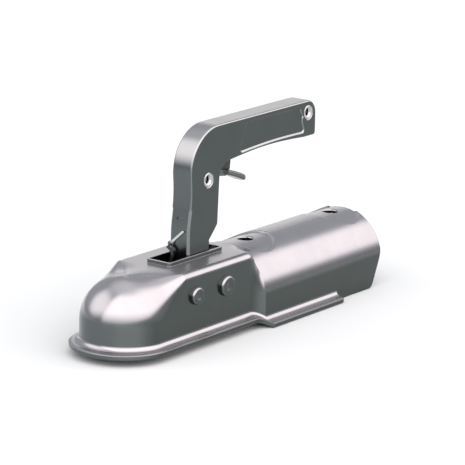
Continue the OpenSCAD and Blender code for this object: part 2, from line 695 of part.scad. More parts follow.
// Cup that the roller presses and the main spring pushes back
module thrust_plunger() color("silver") translate([plunger_back, 0, thrust_z]) rotate([0, -90, 0])
    difference() {
        cylinder(r = plunger_r, h = plunger_len);
        translate([0, 0, plunger_wall]) cylinder(r = plunger_r - plunger_wall, h = plunger_len);
    }

// Coil between the jaw's bore and the plunger's floor
module main_spring() color("dimgray") {
    room = main_coil_wire + 0.4;
    length = bore_len + plunger_out - plunger_wall - 2 * room;
    translate([jaw_back - bore_len + room, 0, thrust_z]) rotate([0, 90, 0])
        wire(helix(main_coil_r, length, 4), main_coil_wire, [0, 0, 1]);
}

// Coil round one jaw spacer that opens the jaw, with a leg down beside the jaw and one up to the deck
module jaw_spring() color("dimgray") translate([jaw_x, -jaw_coil_y, pin_z]) rotate([90, 0, 0])
    wire(legged_coil(jaw_coil_r, jaw_coil_pitch, jaw_coil_turns, 0, jaw_coil_leg, socket_r - pin_z - run_gap),
        jaw_coil_wire, [0, 0, 1]);

// Pivot of the wear needle, headed over it
module needle_pin() color("silver")
    translate([lever_x - stem_front - needle_t - 1.2, needle_y, pin_z + needle_up]) rotate([0, 90, 0]) {
        cylinder(r = 1.8, h = 0.8);
        cylinder(r = needle_pin_r, h = 1.2 + needle_t + lever_wall);
    }

// Wear needle on the stem's front face
module wear_needle() color("white")
    translate([lever_x - stem_front - needle_t - 0.2, needle_y, pin_z + needle_up]) difference() {
        rotate([needle_angle, 0, 0]) union() {
            rotate([0, 90, 0]) cylinder(r = 2, h = needle_t);
            along_x(0, needle_t) polygon([[0, -1], [needle_len, -0.5], [needle_len, 0.5], [0, 1]]);
        }
        rotate([0, 90, 0]) translate([0, 0, -over]) cylinder(r = needle_pin_r + pin_play, h = 2 * over);
    }

// Black wire from the needle down to the jaw side of the lever
module feeler_wire() color("black") translate([lever_x, 0, pin_z]) wire([
    [-stem_front - 3, needle_y + 1, needle_up - 2], [-stem_front - 3.2, needle_y - 1.5, needle_up - 3.5],
    [-stem_front - 3.4, needle_y - 3, needle_up - 6], [-stem_front - 3.4, needle_y - 3.2, needle_up - 8.5],
    [-stem_front - 3, needle_y - 1.8, needle_up - 12], [-stem_front - 1.6, needle_y - 1.5, needle_up - 14.5],
    [-stem_front - 0.3, needle_y - 1.5, needle_up - 15]], wire_r, [1, 0.2, 0]);

housing();
jaw_pin();
lever_pin();
jaw_spacers();
lever_spacers();
catch_bar();
lever();
lever_bush();
trigger_rivet();
grip_rivet();
grip_spacer();
roller_pin();
needle_pin();
feeler_wire();
trigger();
trigger_pad();
rod_pin();
catch_rod();
spring_seat();
catch_spring();
trigger_spring();
ball_jaw();
main_spring();
jaw_spring();
thrust_plunger();
thrust_roller();
wear_needle();
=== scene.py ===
"""Looks of a ball coupling head: pressed zinc-plated body, hand lever, trigger and jaw, in a pale studio."""

import json
import logging
import math
from dataclasses import dataclass, field
from enum import Enum
from typing import Callable, Iterable, Sequence

import bpy
from mathutils import Matrix, Vector


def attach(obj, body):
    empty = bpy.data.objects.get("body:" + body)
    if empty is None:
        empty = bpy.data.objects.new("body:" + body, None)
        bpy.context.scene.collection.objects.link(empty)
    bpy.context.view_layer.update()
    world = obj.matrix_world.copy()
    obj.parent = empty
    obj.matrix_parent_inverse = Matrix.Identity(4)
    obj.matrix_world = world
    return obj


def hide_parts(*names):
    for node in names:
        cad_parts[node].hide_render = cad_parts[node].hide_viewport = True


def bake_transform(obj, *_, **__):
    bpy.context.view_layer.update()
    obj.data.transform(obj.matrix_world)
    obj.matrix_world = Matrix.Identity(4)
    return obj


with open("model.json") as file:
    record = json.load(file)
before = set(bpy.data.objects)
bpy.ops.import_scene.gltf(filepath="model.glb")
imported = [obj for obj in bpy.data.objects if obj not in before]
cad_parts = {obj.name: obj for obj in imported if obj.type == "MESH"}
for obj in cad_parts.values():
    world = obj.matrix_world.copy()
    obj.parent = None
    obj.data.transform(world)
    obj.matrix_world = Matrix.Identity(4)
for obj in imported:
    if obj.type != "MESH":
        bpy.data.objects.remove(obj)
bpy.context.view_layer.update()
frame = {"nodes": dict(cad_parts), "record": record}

LOG = logging.getLogger("coupling")

MM = 0.001
MERGE = 1e-6
WIRE_SIDES = 4
ALONG, ACROSS, UP = Vector((1, 0, 0)), Vector((0, 1, 0)), Vector((0, 0, 1))
Point = tuple[float, float]
Point3 = tuple[float, float, float]


class Axis(Enum):
    """Row axis that an outline is extruded along."""

    X = "x"
    Y = "y"
    Z = "z"

    def place(self, u: float, v: float, w: float) -> Vector:
        """Put outline point (u, v) at distance w along the axis.

        Args:
            u: First outline coordinate, in millimetres.
            v: Second outline coordinate, in millimetres.
            w: Distance along the axis, in millimetres.

        Returns:
            The point in metres. Outlines are (y, z) along X, (x, z) along Y and (x, y) along Z.
        """
        order = {Axis.X: (w, u, v), Axis.Y: (u, w, v), Axis.Z: (u, v, w)}[self]
        return Vector(order) * MM


def arc(centre: Point, radius: float, start: float, end: float, steps: int) -> list[Point]:
    """Points of an arc.

    Args:
        centre: Centre of the arc.
        radius: Its radius.
        start: First angle in degrees.
        end: Last angle in degrees.
        steps: Number of chords.

    Returns:
        The points from start to end.
    """
    points = []
    for i in range(steps + 1):
        a = math.radians(start + (end - start) * i / steps)
        points.append((centre[0] + radius * math.cos(a), centre[1] + radius * math.sin(a)))
    return points


@dataclass(frozen=True)
class Sizes:
    """Driving sizes of the coupling in millimetres, as the source of the solids gives them."""

    socket_r: float = 25.2
    sheet: float = 4.0
    bar_r: float = 30.2
    nose_z: float = -18.4
    jaw_x: float = 38.5
    lever_x: float = 71.0
    pin_z: float = 12.5
    jaw_pin_r: float = 4.5
    lever_pin_r: float = 5.5
    trigger_pin: Point = (78.0, 79.5)
    rod_pin: Point = (88.5, 79.5)
    needle: Point = (6.0, 38.5)
    shoulder_x: float = 27.0
    deck_end: float = 98.0
    tube_x: float = 108.0
    tail_x: float = 247.0
    edge_r: float = 5.0

    @property
    def shell_r(self) -> float:
        """Outer radius of the ball dome."""
        return self.socket_r + self.sheet

    @property
    def tube_r(self) -> float:
        """Outer radius of the drawbar seat."""
        return self.bar_r + self.sheet

    @property
    def tube_z(self) -> float:
        """Height of the drawbar's axis."""
        return self.shell_r - self.tube_r


SIZES = Sizes()


def activate(piece: bpy.types.Object) -> None:
    """Select one object alone and make it active."""
    bpy.ops.object.select_all(action="DESELECT")
    piece.select_set(True)
    bpy.context.view_layer.objects.active = piece


def apply_modifier(piece: bpy.types.Object, kind: str, **settings: object) -> None:
    """Add a modifier and apply it.

    Args:
        piece: The object.
        kind: The modifier's type.
        settings: Its properties.
    """
    activate(piece)
    modifier = piece.modifiers.new(kind.title(), kind)
    for name, value in settings.items():
        setattr(modifier, name, value)
    bpy.ops.object.modifier_apply(modifier=modifier.name)


def in_edit(piece: bpy.types.Object, *steps: Callable[[], object]) -> None:
    """Run edit-mode steps on a whole mesh.

    Args:
        piece: The object.
        steps: Calls of mesh operators; each finds everything selected.
    """
    activate(piece)
    bpy.ops.object.mode_set(mode="EDIT")
    for step in steps:
        bpy.ops.mesh.select_all(action="SELECT")
        step()
    bpy.ops.object.mode_set(mode="OBJECT")


def weld() -> None:
    """Merge coincident vertices and turn the faces outward."""
    bpy.ops.mesh.remove_doubles(threshold=MERGE)
    bpy.ops.mesh.select_all(action="SELECT")
    bpy.ops.mesh.normals_make_consistent(inside=False)


def smooth(piece: bpy.types.Object, degrees: float) -> bpy.types.Object:
    """Shade a piece smooth, apart from edges sharper than an angle."""
    activate(piece)
    bpy.ops.object.shade_smooth_by_angle(angle=math.radians(degrees))
    return piece


def flatten(piece: bpy.types.Object, degrees: float = 32.0) -> bpy.types.Object:
    """Shade a piece smooth with its large faces kept flat."""
    smooth(piece, degrees)
    apply_modifier(piece, "WEIGHTED_NORMAL", weight=90, keep_sharp=True)
    return piece


def bevel(piece: bpy.types.Object, width: float, segments: int, degrees: float) -> None:
    """Round the sharp edges of a piece.

    Args:
        piece: The object.
        width: Width of the rounding in millimetres.
        segments: Number of its steps.
        degrees: Angle from which an edge counts as sharp.
    """
    apply_modifier(piece, "BEVEL", width=width * MM, segments=segments, limit_method="ANGLE",
                   angle_limit=math.radians(degrees))


def cut(piece: bpy.types.Object, *cutters: bpy.types.Object, operation: str = "DIFFERENCE") -> None:
    """Cut pieces out of another, or join them to it, and drop them.

    Args:
        piece: The object that is changed.
        cutters: The objects that cut it.
        operation: The boolean's kind.
    """
    for cutter in cutters:
        apply_modifier(piece, "BOOLEAN", object=cutter, operation=operation, solver="EXACT")
        bpy.data.objects.remove(cutter)


def join(first: bpy.types.Object, *others: bpy.types.Object) -> bpy.types.Object:
    """Join meshes into the first one."""
    activate(first)
    for other in others:
        other.select_set(True)
    bpy.ops.object.join()
    return first


def prism(name: str, outline: Sequence[Point], axis: Axis, start: float, end: float) -> bpy.types.Object:
    """Extrude an outline along an axis of the row frame.

    Args:
        name: The object's name.
        outline: Corner points in millimetres, in the order that Axis.place takes.
        axis: Direction of the extrusion.
        start: First place along it.
        end: Last place along it.

    Returns:
        A closed mesh.
    """
    bpy.ops.object.select_all(action="DESELECT")
    bpy.ops.mesh.primitive_circle_add(vertices=len(outline), fill_type="NGON")
    piece = bpy.context.object
    piece.name = name
    for vertex, (u, v) in zip(piece.data.vertices, outline):
        vertex.co = axis.place(u, v, start)
    shift = axis.place(0, 0, end - start)
    in_edit(piece, lambda: bpy.ops.mesh.extrude_region_move(TRANSFORM_OT_translate={"value": shift}), weld)
    return piece


def grid(name: str, rows: Sequence[Sequence[Point3]], close_rows: bool = False,
         close_columns: bool = False) -> bpy.types.Object:
    """Shape a grid over rows of points.

    Args:
        name: The object's name.
        rows: Rows of points in millimetres, all of one length.
        close_rows: Whether the last row joins the first.
        close_columns: Whether each row's last point joins its first.

    Returns:
        The mesh, its coincident points merged.
    """
    rows = [list(row) + ([row[0]] if close_columns else []) for row in rows]
    if close_rows:
        rows.append(rows[0])
    bpy.ops.object.select_all(action="DESELECT")
    bpy.ops.mesh.primitive_grid_add(x_subdivisions=len(rows[0]) - 1, y_subdivisions=len(rows) - 1)
    piece = bpy.context.object
    piece.name = name
    flat = [value * MM for row in rows for point in row for value in point]
    piece.data.vertices.foreach_set("co", flat)
    in_edit(piece, weld)
    return piece


def lathe(name: str, profile: Sequence[Point], origin: Point3, direction: Vector,
          steps: int) -> bpy.types.Object:
    """Spin a closed profile about an axis.

    Args:
        name: The object's name.
        profile: Points (radius, place along the axis) in millimetres.
        origin: Point that the axis passes, in millimetres.
        direction: The axis.
        steps: Number of steps in the full turn.

    Returns:
        A closed mesh.
    """
    direction = direction.normalized()
    side = direction.orthogonal().normalized()
    bpy.ops.object.select_all(action="DESELECT")
    bpy.ops.mesh.primitive_circle_add(vertices=len(profile), fill_type="NOTHING")
    piece = bpy.context.object
    piece.name = name
    base = Vector(origin) * MM
    for vertex, (radius, along) in zip(piece.data.vertices, profile):
        vertex.co = base + side * radius * MM + direction * along * MM
    in_edit(piece, lambda: bpy.ops.mesh.spin(steps=steps, angle=math.tau, center=base, axis=direction), weld)
    return piece


def wire(name: str, path: Sequence[Point3], radius: float) -> bpy.types.Object:
    """Sweep a round wire along a path.

    Args:
        name: The object's name.
        path: Points of the wire's middle, in millimetres.
        radius: The wire's radius.

    Returns:
        The mesh.
    """
    data = bpy.data.curves.new(name, "CURVE")
    data.dimensions = "3D"
    spline = data.splines.new("POLY")
    spline.points.add(len(path) - 1)
    for point, place in zip(spline.points, path):
        point.co = (*(Vector(place) * MM), 1.0)
    data.bevel_depth = radius * MM
    data.bevel_resolution = WIRE_SIDES
    data.use_fill_caps = True
    piece = bpy.data.objects.new(name, data)
    bpy.context.scene.collection.objects.link(piece)
    activate(piece)
    bpy.ops.object.convert(target="MESH")
    in_edit(piece, weld)
    return piece


def bent(points: Sequence[Point3], steps: int) -> list[Point3]:
    """A smooth curve through points.

    Args:
        points: The points that it passes.
        steps: Number of pieces between two points.

    Returns:
        The curve's points.
    """
    held = [Vector(p) for p in points]
    held = [2 * held[0] - held[1], *held, 2 * held[-1] - held[-2]]
    path = []
    for a, b, c, d in zip(held, held[1:], held[2:], held[3:]):
        for i in range(steps):
            t = i / steps
            near = b + (c - a) * t / 2 + (2 * a - 5 * b + 4 * c - d) * t * t / 2
            path.append(tuple(near + (3 * b - a - 3 * c + d) * t ** 3 / 2))
    path.append(tuple(held[-2]))
    return path


def ease(t: float) -> float:
    """Smooth step from 0 to 1."""
    t = min(max(t, 0.0), 1.0)
    return t * t * (3 - 2 * t)


def swung(a: Vector, b: Vector, t: float) -> Vector:
    """Point on the great circle between two points of a ball about the origin.

    Args:
        a: First point.
        b: Second point.
        t: Share of the way, from 0 to 1.

    Returns:
        The point.
    """
    angle = a.angle(b)
    return (a * math.sin((1 - t) * angle) + b * math.sin(t * angle)) / math.sin(angle)


def mix(a: float, b: float, t: float) -> float:
    """Value between a and b."""
    return a + (b - a) * t


def spread(count: int, low: float = 0.0, high: float = 1.0) -> list[float]:
    """Evenly spaced values, the first left out.

    Args:
        count: Number of values.
        low: The value before the first.
        high: The last value.

    Returns:
        The values.
    """
    return [mix(low, high, (i + 1) / count) for i in range(count)]


@dataclass(frozen=True)
class Skin:
    """One side of the sheet: its half width and height, its deck edge and its drawbar seat's radius."""

    half: float
    edge: float
    tube: float


@dataclass(frozen=True)
class Lip:
    """A wall's turned-out flange at one place: faces of the wall, reach, heights and radii."""

    inner: float
    outer: float
    reach: float
    bottom: float
    top: float
    root: float
    round_top: float
    foot: float

    def point(self, zone: "Zone", w: float) -> Point:
        """Point of the flange's outline.

        Args:
            zone: Stretch of the outline.
            w: Place along the stretch, from 0 to 1.

        Returns:
            Distance from the middle and height.
        """
        turn = math.radians(90 * w)
        if zone is Zone.ROOT:
            return (self.outer + self.root * (1 - math.cos(turn)), self.top + self.root * (1 - math.sin(turn)))
        if zone is Zone.LIP:
            return (self.reach - self.round_top * (1 - w), self.top - 0.36 * self.round_top * w * w)
        if zone is Zone.FOOT:
            middle = (self.reach - self.foot, self.bottom + self.foot)
            return (middle[0] + self.foot * math.cos(turn), middle[1] - self.foot * math.sin(turn))
        middle = (self.inner + self.foot, self.bottom + self.foot)
        return (middle[0] - self.foot * math.sin(turn), middle[1] - self.foot * math.cos(turn))

    def blended(self, other: "Lip", t: float) -> "Lip":
        """The flange between this one and another."""
        pairs = ((getattr(self, name), getattr(other, name)) for name in self.__dataclass_fields__)
        return Lip(*(mix(a, b, t) for a, b in pairs))


class Zone(Enum):
    """Stretches of the half outline, from the roof's middle line out, down and back inside."""

    DECK = "deck"
    EDGE = "edge"
    SIDE = "side"
    WALL = "wall"
    ROOT = "root"
    LIP = "lip"
    FOOT = "foot"
    INNER_FOOT = "inner_foot"
    INNER_WALL = "inner_wall"
    INNER_SIDE = "inner_side"
    INNER_EDGE = "inner_edge"
    INNER_DECK = "inner_deck"


INNER = {Zone.INNER_WALL: Zone.WALL, Zone.INNER_SIDE: Zone.SIDE, Zone.INNER_EDGE: Zone.EDGE,
         Zone.INNER_DECK: Zone.DECK}


@dataclass
class Body:
    """Pressed body: ball dome, shoulders, deck, neck, drawbar seat and flanges, as one sheet."""

    sizes: Sizes = SIZES
    nose_reach: float = 6.8
    bar_reach: float = 7.8
    root: float = 3.9
    round_top: float = 2.7
    foot: float = 1.4
    bar_bottom: float = -23.0
    flange_end: float = 193.0
    corner: float = 4.0
    bolt_x: tuple[float, float] = (131.0, 231.0)
    seat_r: float = 19.6
    seat_depth: float = 1.15
    seat_slope: float = 1.2
    hole_r: float = 5.25
    slot: tuple[float, float, float] = (36.1, 91.4, 8.5)
    slot_r: float = 1.4
    collar_t: float = 1.6
    collar_h: float = 2.5
    draw: float = 1.1
    waist: float = 1.5
    rake: float = 24.5
    rake_z: float = 2.2
    tail_corner: float = 6.5
    step: float = 0.62
    columns: list[tuple[Zone, float]] = field(default_factory=list)

    def __post_init__(self) -> None:
        """Set out the columns of the half outline."""
        s = self.sizes
        self.outer = Skin(s.shell_r, s.edge_r, s.tube_r)
        self.inner = Skin(s.socket_r, s.edge_r - s.sheet, s.bar_r)
        counts = ((Zone.DECK, 26), (Zone.EDGE, 9), (Zone.SIDE, 8))
        roof = [(Zone.DECK, 0.0)] + [(zone, w) for zone, count in counts for w in spread(count)]
        roof += [(Zone.WALL, 1 - (1 - w) ** 1.6) for w in spread(12)]
        inside = {outer: inner for inner, outer in INNER.items()}
        self.columns = list(roof)
        for zone, count in ((Zone.ROOT, 5), (Zone.LIP, 6), (Zone.FOOT, 4), (Zone.INNER_FOOT, 4)):
            self.columns += [(zone, w) for w in [0.0] + spread(count)]
        self.columns += [(inside[zone], w) for zone, w in reversed(roof)]

    def nose_lip(self) -> Lip:
        """Flange round the nose and along the deck."""
        s = self.sizes
        return Lip(s.socket_r, s.shell_r, s.shell_r + self.nose_reach, s.nose_z, s.nose_z + s.sheet,
                   self.root, self.round_top, self.foot)

    def bar_lip(self, x: float, trim: float = 0.0) -> Lip:
        """Flange along the drawbar seat, or the bare wall behind it.

        Args:
            x: Place along the seat.
            trim: How far the faces are drawn in at the tail's rounded edge.

        Returns:
            The flange at that place.
        """
        s = self.sizes
        if x > self.flange_end:
            foot = 0.6
            return Lip(s.bar_r + trim, s.tube_r - trim, s.tube_r - trim, self.bar_bottom + trim,
                       self.bar_bottom + trim + foot, 0.0, 0.0, foot)
        into = max(0.0, x - self.flange_end + self.corner)
        reach = s.tube_r + self.bar_reach - self.corner + math.sqrt(self.corner ** 2 - into ** 2)
        fall = max(0.0, x - self.flange_end + self.foot)
        top = self.bar_bottom + s.sheet - self.foot + math.sqrt(max(0.0, self.foot ** 2 - fall ** 2))
        room = min(self.round_top, reach - s.tube_r - self.root)
        return Lip(s.bar_r, s.tube_r, reach, self.bar_bottom, top, self.root, room, self.foot)

    def roof(self, zone: Zone, w: float, skin: Skin, foot: float) -> Point:
        """Point of the box section's outline.

        Args:
            zone: Stretch of the outline.
            w: Place along it.
            skin: Side of the sheet.
            foot: Height at which the wall ends.

        Returns:
            The point (y, z).
        """
        flat = skin.half - skin.edge
        if zone is Zone.DECK:
            return (flat * w, skin.half)
        if zone is Zone.EDGE:
            turn = math.radians(90 * w)
            return (flat + skin.edge * math.sin(turn), flat + skin.edge * math.cos(turn))
        if zone is Zone.SIDE:
            return (skin.half, flat * (1 - w))
        return (skin.half, foot * w)

    def arch(self, zone: Zone, w: float, skin: Skin, foot: float, x: float = 0.0) -> Point:
        """Point of the drawbar seat's outline.

        Args:
            zone: Stretch of the outline.
            w: Place along it.
            skin: Side of the sheet.
            foot: Height at which the wall ends.
            x: Place along the seat, for the seats round its bolt holes.

        Returns:
            The point (y, z).
        """
        s = self.sizes
        centre = s.tube_z
        marks = [0.0, math.atan2(s.shell_r - s.edge_r, s.tube_r), math.pi / 4, math.atan2(s.shell_r, s.edge_r)]
        if zone is Zone.WALL:
            bend = (math.pi / 2 - marks[3]) * skin.tube
            way = w * (bend + centre - foot)
            if way > bend:
                return (skin.tube, centre - (way - bend))
            turn = marks[3] + way / skin.tube
        else:
            place = (Zone.DECK, Zone.EDGE, Zone.SIDE).index(zone)
            turn = mix(marks[place], marks[place + 1], w)
        radius = skin.tube
        if zone is not Zone.WALL and skin.tube > s.bar_r + s.sheet / 2:
            radius -= self.seat_sink(x, radius * math.sin(turn))
        return (radius * math.sin(turn), centre + radius * math.cos(turn))

    def seat_sink(self, x: float, y: float) -> float:
        """Depth of the pressed bolt seats under a point."""
        sink = 0.0
        for bolt in self.bolt_x:
            sink = max(sink, self.seat_depth * ease((self.seat_r - math.hypot(x - bolt, y)) / self.seat_slope + 0.5))
        return sink

    def tail_end(self, z: float) -> float:
        """Where the tail's edge lies at a height."""
        s = self.sizes
        slope = math.tan(math.radians(self.rake))
        corner_z = self.bar_bottom + self.tail_corner
        corner_x = s.tail_x - (self.rake_z - corner_z) * slope - self.tail_corner / math.cos(math.radians(self.rake))
        if z > self.rake_z:
            return s.tail_x
        touch_z = corner_z - self.tail_corner * math.sin(math.radians(self.rake))
        if z > touch_z:
            return s.tail_x - (self.rake_z - z) * slope
        return corner_x + math.sqrt(max(0.0, self.tail_corner ** 2 - (corner_z - z) ** 2))

    def section(self, lip: Lip, outline: Callable[[Zone, float, Skin, float], Point],
                trim: float = 0.0) -> list[Point]:
        """Half outline at one place.

        Args:
            lip: The flange there.
            outline: The roof's outline by zone.
            trim: How far the faces are drawn in.

        Returns:
            The points (distance from the middle, height) of all columns.
        """
        points = []
        for zone, w in self.columns:
            if zone in INNER:
                skin = Skin(self.inner.half, self.inner.edge, self.inner.tube + trim)
                points.append(outline(INNER[zone], w, skin, lip.bottom + lip.foot))
            elif zone in (Zone.DECK, Zone.EDGE, Zone.SIDE, Zone.WALL):
                skin = Skin(self.outer.half, self.outer.edge, self.outer.tube - trim)
                points.append(outline(zone, w, skin, lip.top + lip.root))
            else:
                points.append(lip.point(zone, w))
        return points

    def touch(self, turn: float, skin: Skin) -> Vector:
        """Point of the dome that a straight line joins to the shoulder's rounded edge.

        Args:
            turn: Place round that edge in radians, 0 at the wall.
            skin: Side of the sheet.

        Returns:
            The point, in millimetres.
        """
        reach = (skin.half - skin.edge) * (math.cos(turn) + math.sin(turn)) + skin.edge
        away = math.atan2(self.sizes.shoulder_x, reach)
        lean = math.acos(skin.half / math.hypot(reach, self.sizes.shoulder_x)) - away
        normal = Vector((-math.sin(lean), math.cos(lean) * math.cos(turn), math.cos(lean) * math.sin(turn)))
        return normal * skin.half

    def dome_turn(self, zone: Zone, w: float) -> float:
        """Place round the shoulder's edge that a roof column starts from."""
        return math.radians({Zone.DECK: 90.0, Zone.EDGE: 90 * (1 - w)}.get(zone, 0.0))

    def nose_row(self, t: float) -> list[Point3]:
        """Points of one row round the nose, from its tip (0) to the ball's side (1)."""
        lip = self.nose_lip()
        bearing = math.radians(180 - 90 * t)
        flat = self.section(lip, self.roof)
        row = []
        for (zone, w), (out, z) in zip(self.columns, flat):
            base = INNER.get(zone, zone)
            if base in (Zone.DECK, Zone.EDGE, Zone.SIDE):
                skin = self.inner if zone in INNER else self.outer
                tip = Vector((-skin.half, 0.0, 0.0))
                row.append(tuple(swung(tip, self.touch(self.dome_turn(base, w), skin), t)))
            else:
                row.append((out * math.cos(bearing), out * math.sin(bearing), z))
        return row

    def shoulder_row(self, t: float) -> list[Point3]:
        """Points of one row between the ball's side (0) and the shoulders (1)."""
        lip = self.nose_lip()
        x = self.sizes.shoulder_x * t
        row = []
        for (zone, w), (out, z) in zip(self.columns, self.section(lip, self.roof)):
            base = INNER.get(zone, zone)
            end = Vector((self.sizes.shoulder_x, out, z))
            if base in (Zone.DECK, Zone.EDGE, Zone.SIDE):
                skin = self.inner if zone in INNER else self.outer
                point = self.touch(self.dome_turn(base, w), skin).lerp(end, t)
                if zone not in INNER:
                    near = {Zone.DECK: w * w, Zone.EDGE: 1 - 0.65 * ease(w), Zone.SIDE: 0.35 * (1 - w) ** 3}[base]
                    keep = 1 - self.waist * near * math.sin(math.pi * t) ** 1.4 / math.hypot(point.y, point.z)
                    point.y, point.z = point.y * keep, point.z * keep
                row.append(tuple(point))
            else:
                row.append((x, out, z))
        return row

    def neck_row(self, t: float, start: float, end: float) -> list[Point3]:
        """Points of one row of the neck.

        Args:
            t: Place along the neck, from 0 to 1.
            start: Where the neck starts.
            end: Where it ends.

        Returns:
            The row.
        """
        share = t * t
        box = self.section(self.nose_lip(), self.roof)
        tube = self.section(self.bar_lip(end), lambda *place: self.arch(*place, x=end))
        x = mix(start, end, t)
        return [(x, mix(a[0], b[0], share), mix(a[1], b[1], share)) for a, b in zip(box, tube)]

    def seat_row(self, x: float, bare: bool = False) -> list[Point3]:
        """Points of one row of the drawbar seat ahead of the flange's end."""
        lip = self.bar_lip(self.sizes.tail_x if bare else x)
        return [(x, y, z) for y, z in self.section(lip, lambda *place: self.arch(*place, x=x))]

    def tail_row(self, t: float, trim: float = 0.0, back: float = 0.0) -> list[Point3]:
        """Points of one row behind the flange's end.

        Args:
            t: Place between the flange's end (0) and the tail's edge (1).
            trim: How far the faces are drawn in.
            back: Distance left to the edge.

        Returns:
            The row.
        """
        x = mix(self.flange_end, self.sizes.tail_x, t)
        flat = self.section(self.bar_lip(self.sizes.tail_x, trim), lambda *place: self.arch(*place, x=x), trim)
        return [(mix(self.flange_end, self.tail_end(z) - back, t), y, z) for y, z in flat]

    def rows(self) -> list[list[Point3]]:
        """All rows from the nose's tip to the tail's edge."""
        s = self.sizes
        neck = (s.deck_end - 1.0, s.tube_x + 1.2)
        rows = [self.nose_row(0.0)] + [self.nose_row(t) for t in spread(30)]
        rows += [self.shoulder_row(t) for t in spread(12, 0.0, 0.96)] + [self.shoulder_row(1.0)]
        box = self.section(self.nose_lip(), self.roof)
        rows += [[(x, y, z) for y, z in box] for x in (s.shoulder_x + 1.0, 45.0, 62.0, 80.0, neck[0] - 1.0)]
        rows += [self.neck_row(t, *neck) for t in [0.0] + spread(20)]
        start, end = neck[1], self.flange_end - self.corner
        rows += [self.seat_row(x) for x in spread(round((end - start) / self.step), start, end)]
        rows += [self.seat_row(self.flange_end - self.corner * math.cos(math.radians(90 * t))) for t in spread(8)]
        rows += [self.seat_row(self.flange_end, bare=True)]
        rows += [self.tail_row(t) for t in spread(round((s.tail_x - self.flange_end) / self.step), 0.0, 0.99)]
        edge = 0.7
        for i in range(4):
            turn = math.radians(30 * i)
            rows.append(self.tail_row(1.0, edge * (1 - math.cos(turn)), edge * (1 - math.sin(turn))))
        return rows

    def collar(self) -> bpy.types.Object:
        """Collar round the lever's slot, flared where it leaves the deck.

        Returns:
            A closed ring.
        """
        s = self.sizes
        deck, top = s.shell_r, s.shell_r + self.collar_h
        flare = 0.12
        lip = 0.22
        profile = [(0.0, s.socket_r + 0.02)] + arc((lip, top - lip), lip, 180, 90, 4)
        profile += arc((self.collar_t - lip, top - lip), lip, 90, 0, 4)
        profile += [(self.collar_t, top - lip - 0.12), (self.collar_t, deck + flare + 0.12)]
        profile += arc((self.collar_t + flare, deck + flare), flare, 180, 270, 6)
        profile += [(self.collar_t + flare, deck - 0.4), (0.5, s.socket_r + 0.02)]
        rows = []
        for grow, z in profile:
            rows.append([(x, y, z) for x, y in self.slot_line(grow)])
        return grid("collar", rows, close_rows=True, close_columns=True)

    def slot_line(self, grow: float) -> list[Point]:
        """The slot's outline with its edge moved out.

        Args:
            grow: How far.

        Returns:
            The points (x, y).
        """
        x0, x1, half = self.slot
        r = self.slot_r + grow
        middles = [(x1 - self.slot_r, half - self.slot_r), (x0 + self.slot_r, half - self.slot_r),
                   (x0 + self.slot_r, self.slot_r - half), (x1 - self.slot_r, self.slot_r - half)]
        return [p for i, middle in enumerate(middles) for p in arc(middle, r, 90 * i, 90 * i + 90, 8)]

    def build(self) -> bpy.types.Object:
        """Model the body.

        Returns:
            The mesh.
        """
        rows = self.rows()
        piece = grid("pressed_body", rows)
        join(piece, self.tail_face(rows[-1]))
        apply_modifier(piece, "MIRROR", use_axis=(False, True, False), use_clip=True, merge_threshold=MERGE)
        in_edit(piece, weld)
        slot = prism("slot_cutter", self.slot_line(0.3), Axis.Z, self.sizes.socket_r - 8, self.sizes.shell_r + 8)
        cut(piece, slot, *(self.bolt_hole(x) for x in self.bolt_x))
        join(piece, self.collar())
        return smooth(piece, 32)

    def bolt_hole(self, x: float) -> bpy.types.Object:
        """Cutter of one bolt hole with a drawn-in rim."""
        rim = self.sizes.tube_z + self.sizes.tube_r - self.seat_depth - 0.14
        profile = [(0.0, 0.0), (self.hole_r, 0.0)]
        profile += arc((self.hole_r + self.draw, rim - self.draw), self.draw, 180, 90, 6)
        return lathe("hole_cutter", profile + [(self.hole_r + self.draw + 0.05, 60.0), (0.0, 60.0)],
                     (x + 0.01, 0.02, 0.0), UP, 46)

    def tail_face(self, edge: Sequence[Point3]) -> bpy.types.Object:
        """Cut edge of the sheet at the tail, between its two sides.

        Args:
            edge: The last row, in millimetres.

        Returns:
            A strip of faces.
        """
        by_zone: dict[Zone, list[Point3]] = {}
        for (zone, _), point in zip(self.columns, edge):
            by_zone.setdefault(zone, []).append(point)
        outer = [p for zone in (Zone.DECK, Zone.EDGE, Zone.SIDE, Zone.WALL, Zone.FOOT) for p in by_zone[zone]]
        names = (Zone.INNER_FOOT, Zone.INNER_WALL, Zone.INNER_SIDE, Zone.INNER_EDGE, Zone.INNER_DECK)
        inner = [p for zone in names for p in by_zone[zone]]
        return grid("tail_face", [outer, inner[::-1]])


def offset(outline: Sequence[Point], reach: float) -> list[Point]:
    """Move a closed outline's edge outward.

    Args:
        outline: The points, in either turning direction.
        reach: How far; negative moves it inward.

    Returns:
        As many points.
    """
    area = sum(a[0] * b[1] - b[0] * a[1] for a, b in zip(outline, [*outline[1:], outline[0]]))
    side = math.copysign(1.0, area)
    moved = []
    for before, here, after in zip([outline[-1], *outline], outline, [*outline[1:], outline[0]]):
        way = Vector(here) - Vector(before)
        on = Vector(after) - Vector(here)
        normal = (way.normalized() + on.normalized()).normalized()
        moved.append((here[0] + side * reach * normal.y, here[1] - side * reach * normal.x))
    return moved


def loft(name: str, rows: Sequence[Sequence[Point3]]) -> bpy.types.Object:
    """Closed skin over rings, its two ends filled.

    Args:
        name: The object's name.
        rows: Rings of points in millimetres.

    Returns:
        A closed mesh.
    """
    piece = grid(name, rows, close_columns=True)
    in_edit(piece, lambda: bpy.ops.mesh.fill_holes(sides=0), weld)
    return piece


def rod(radius: float, start: float, end: float) -> list[Point]:
    """Profile of a plain round bar."""
    return [(0.0, start), (radius, start), (radius, end), (0.0, end)]


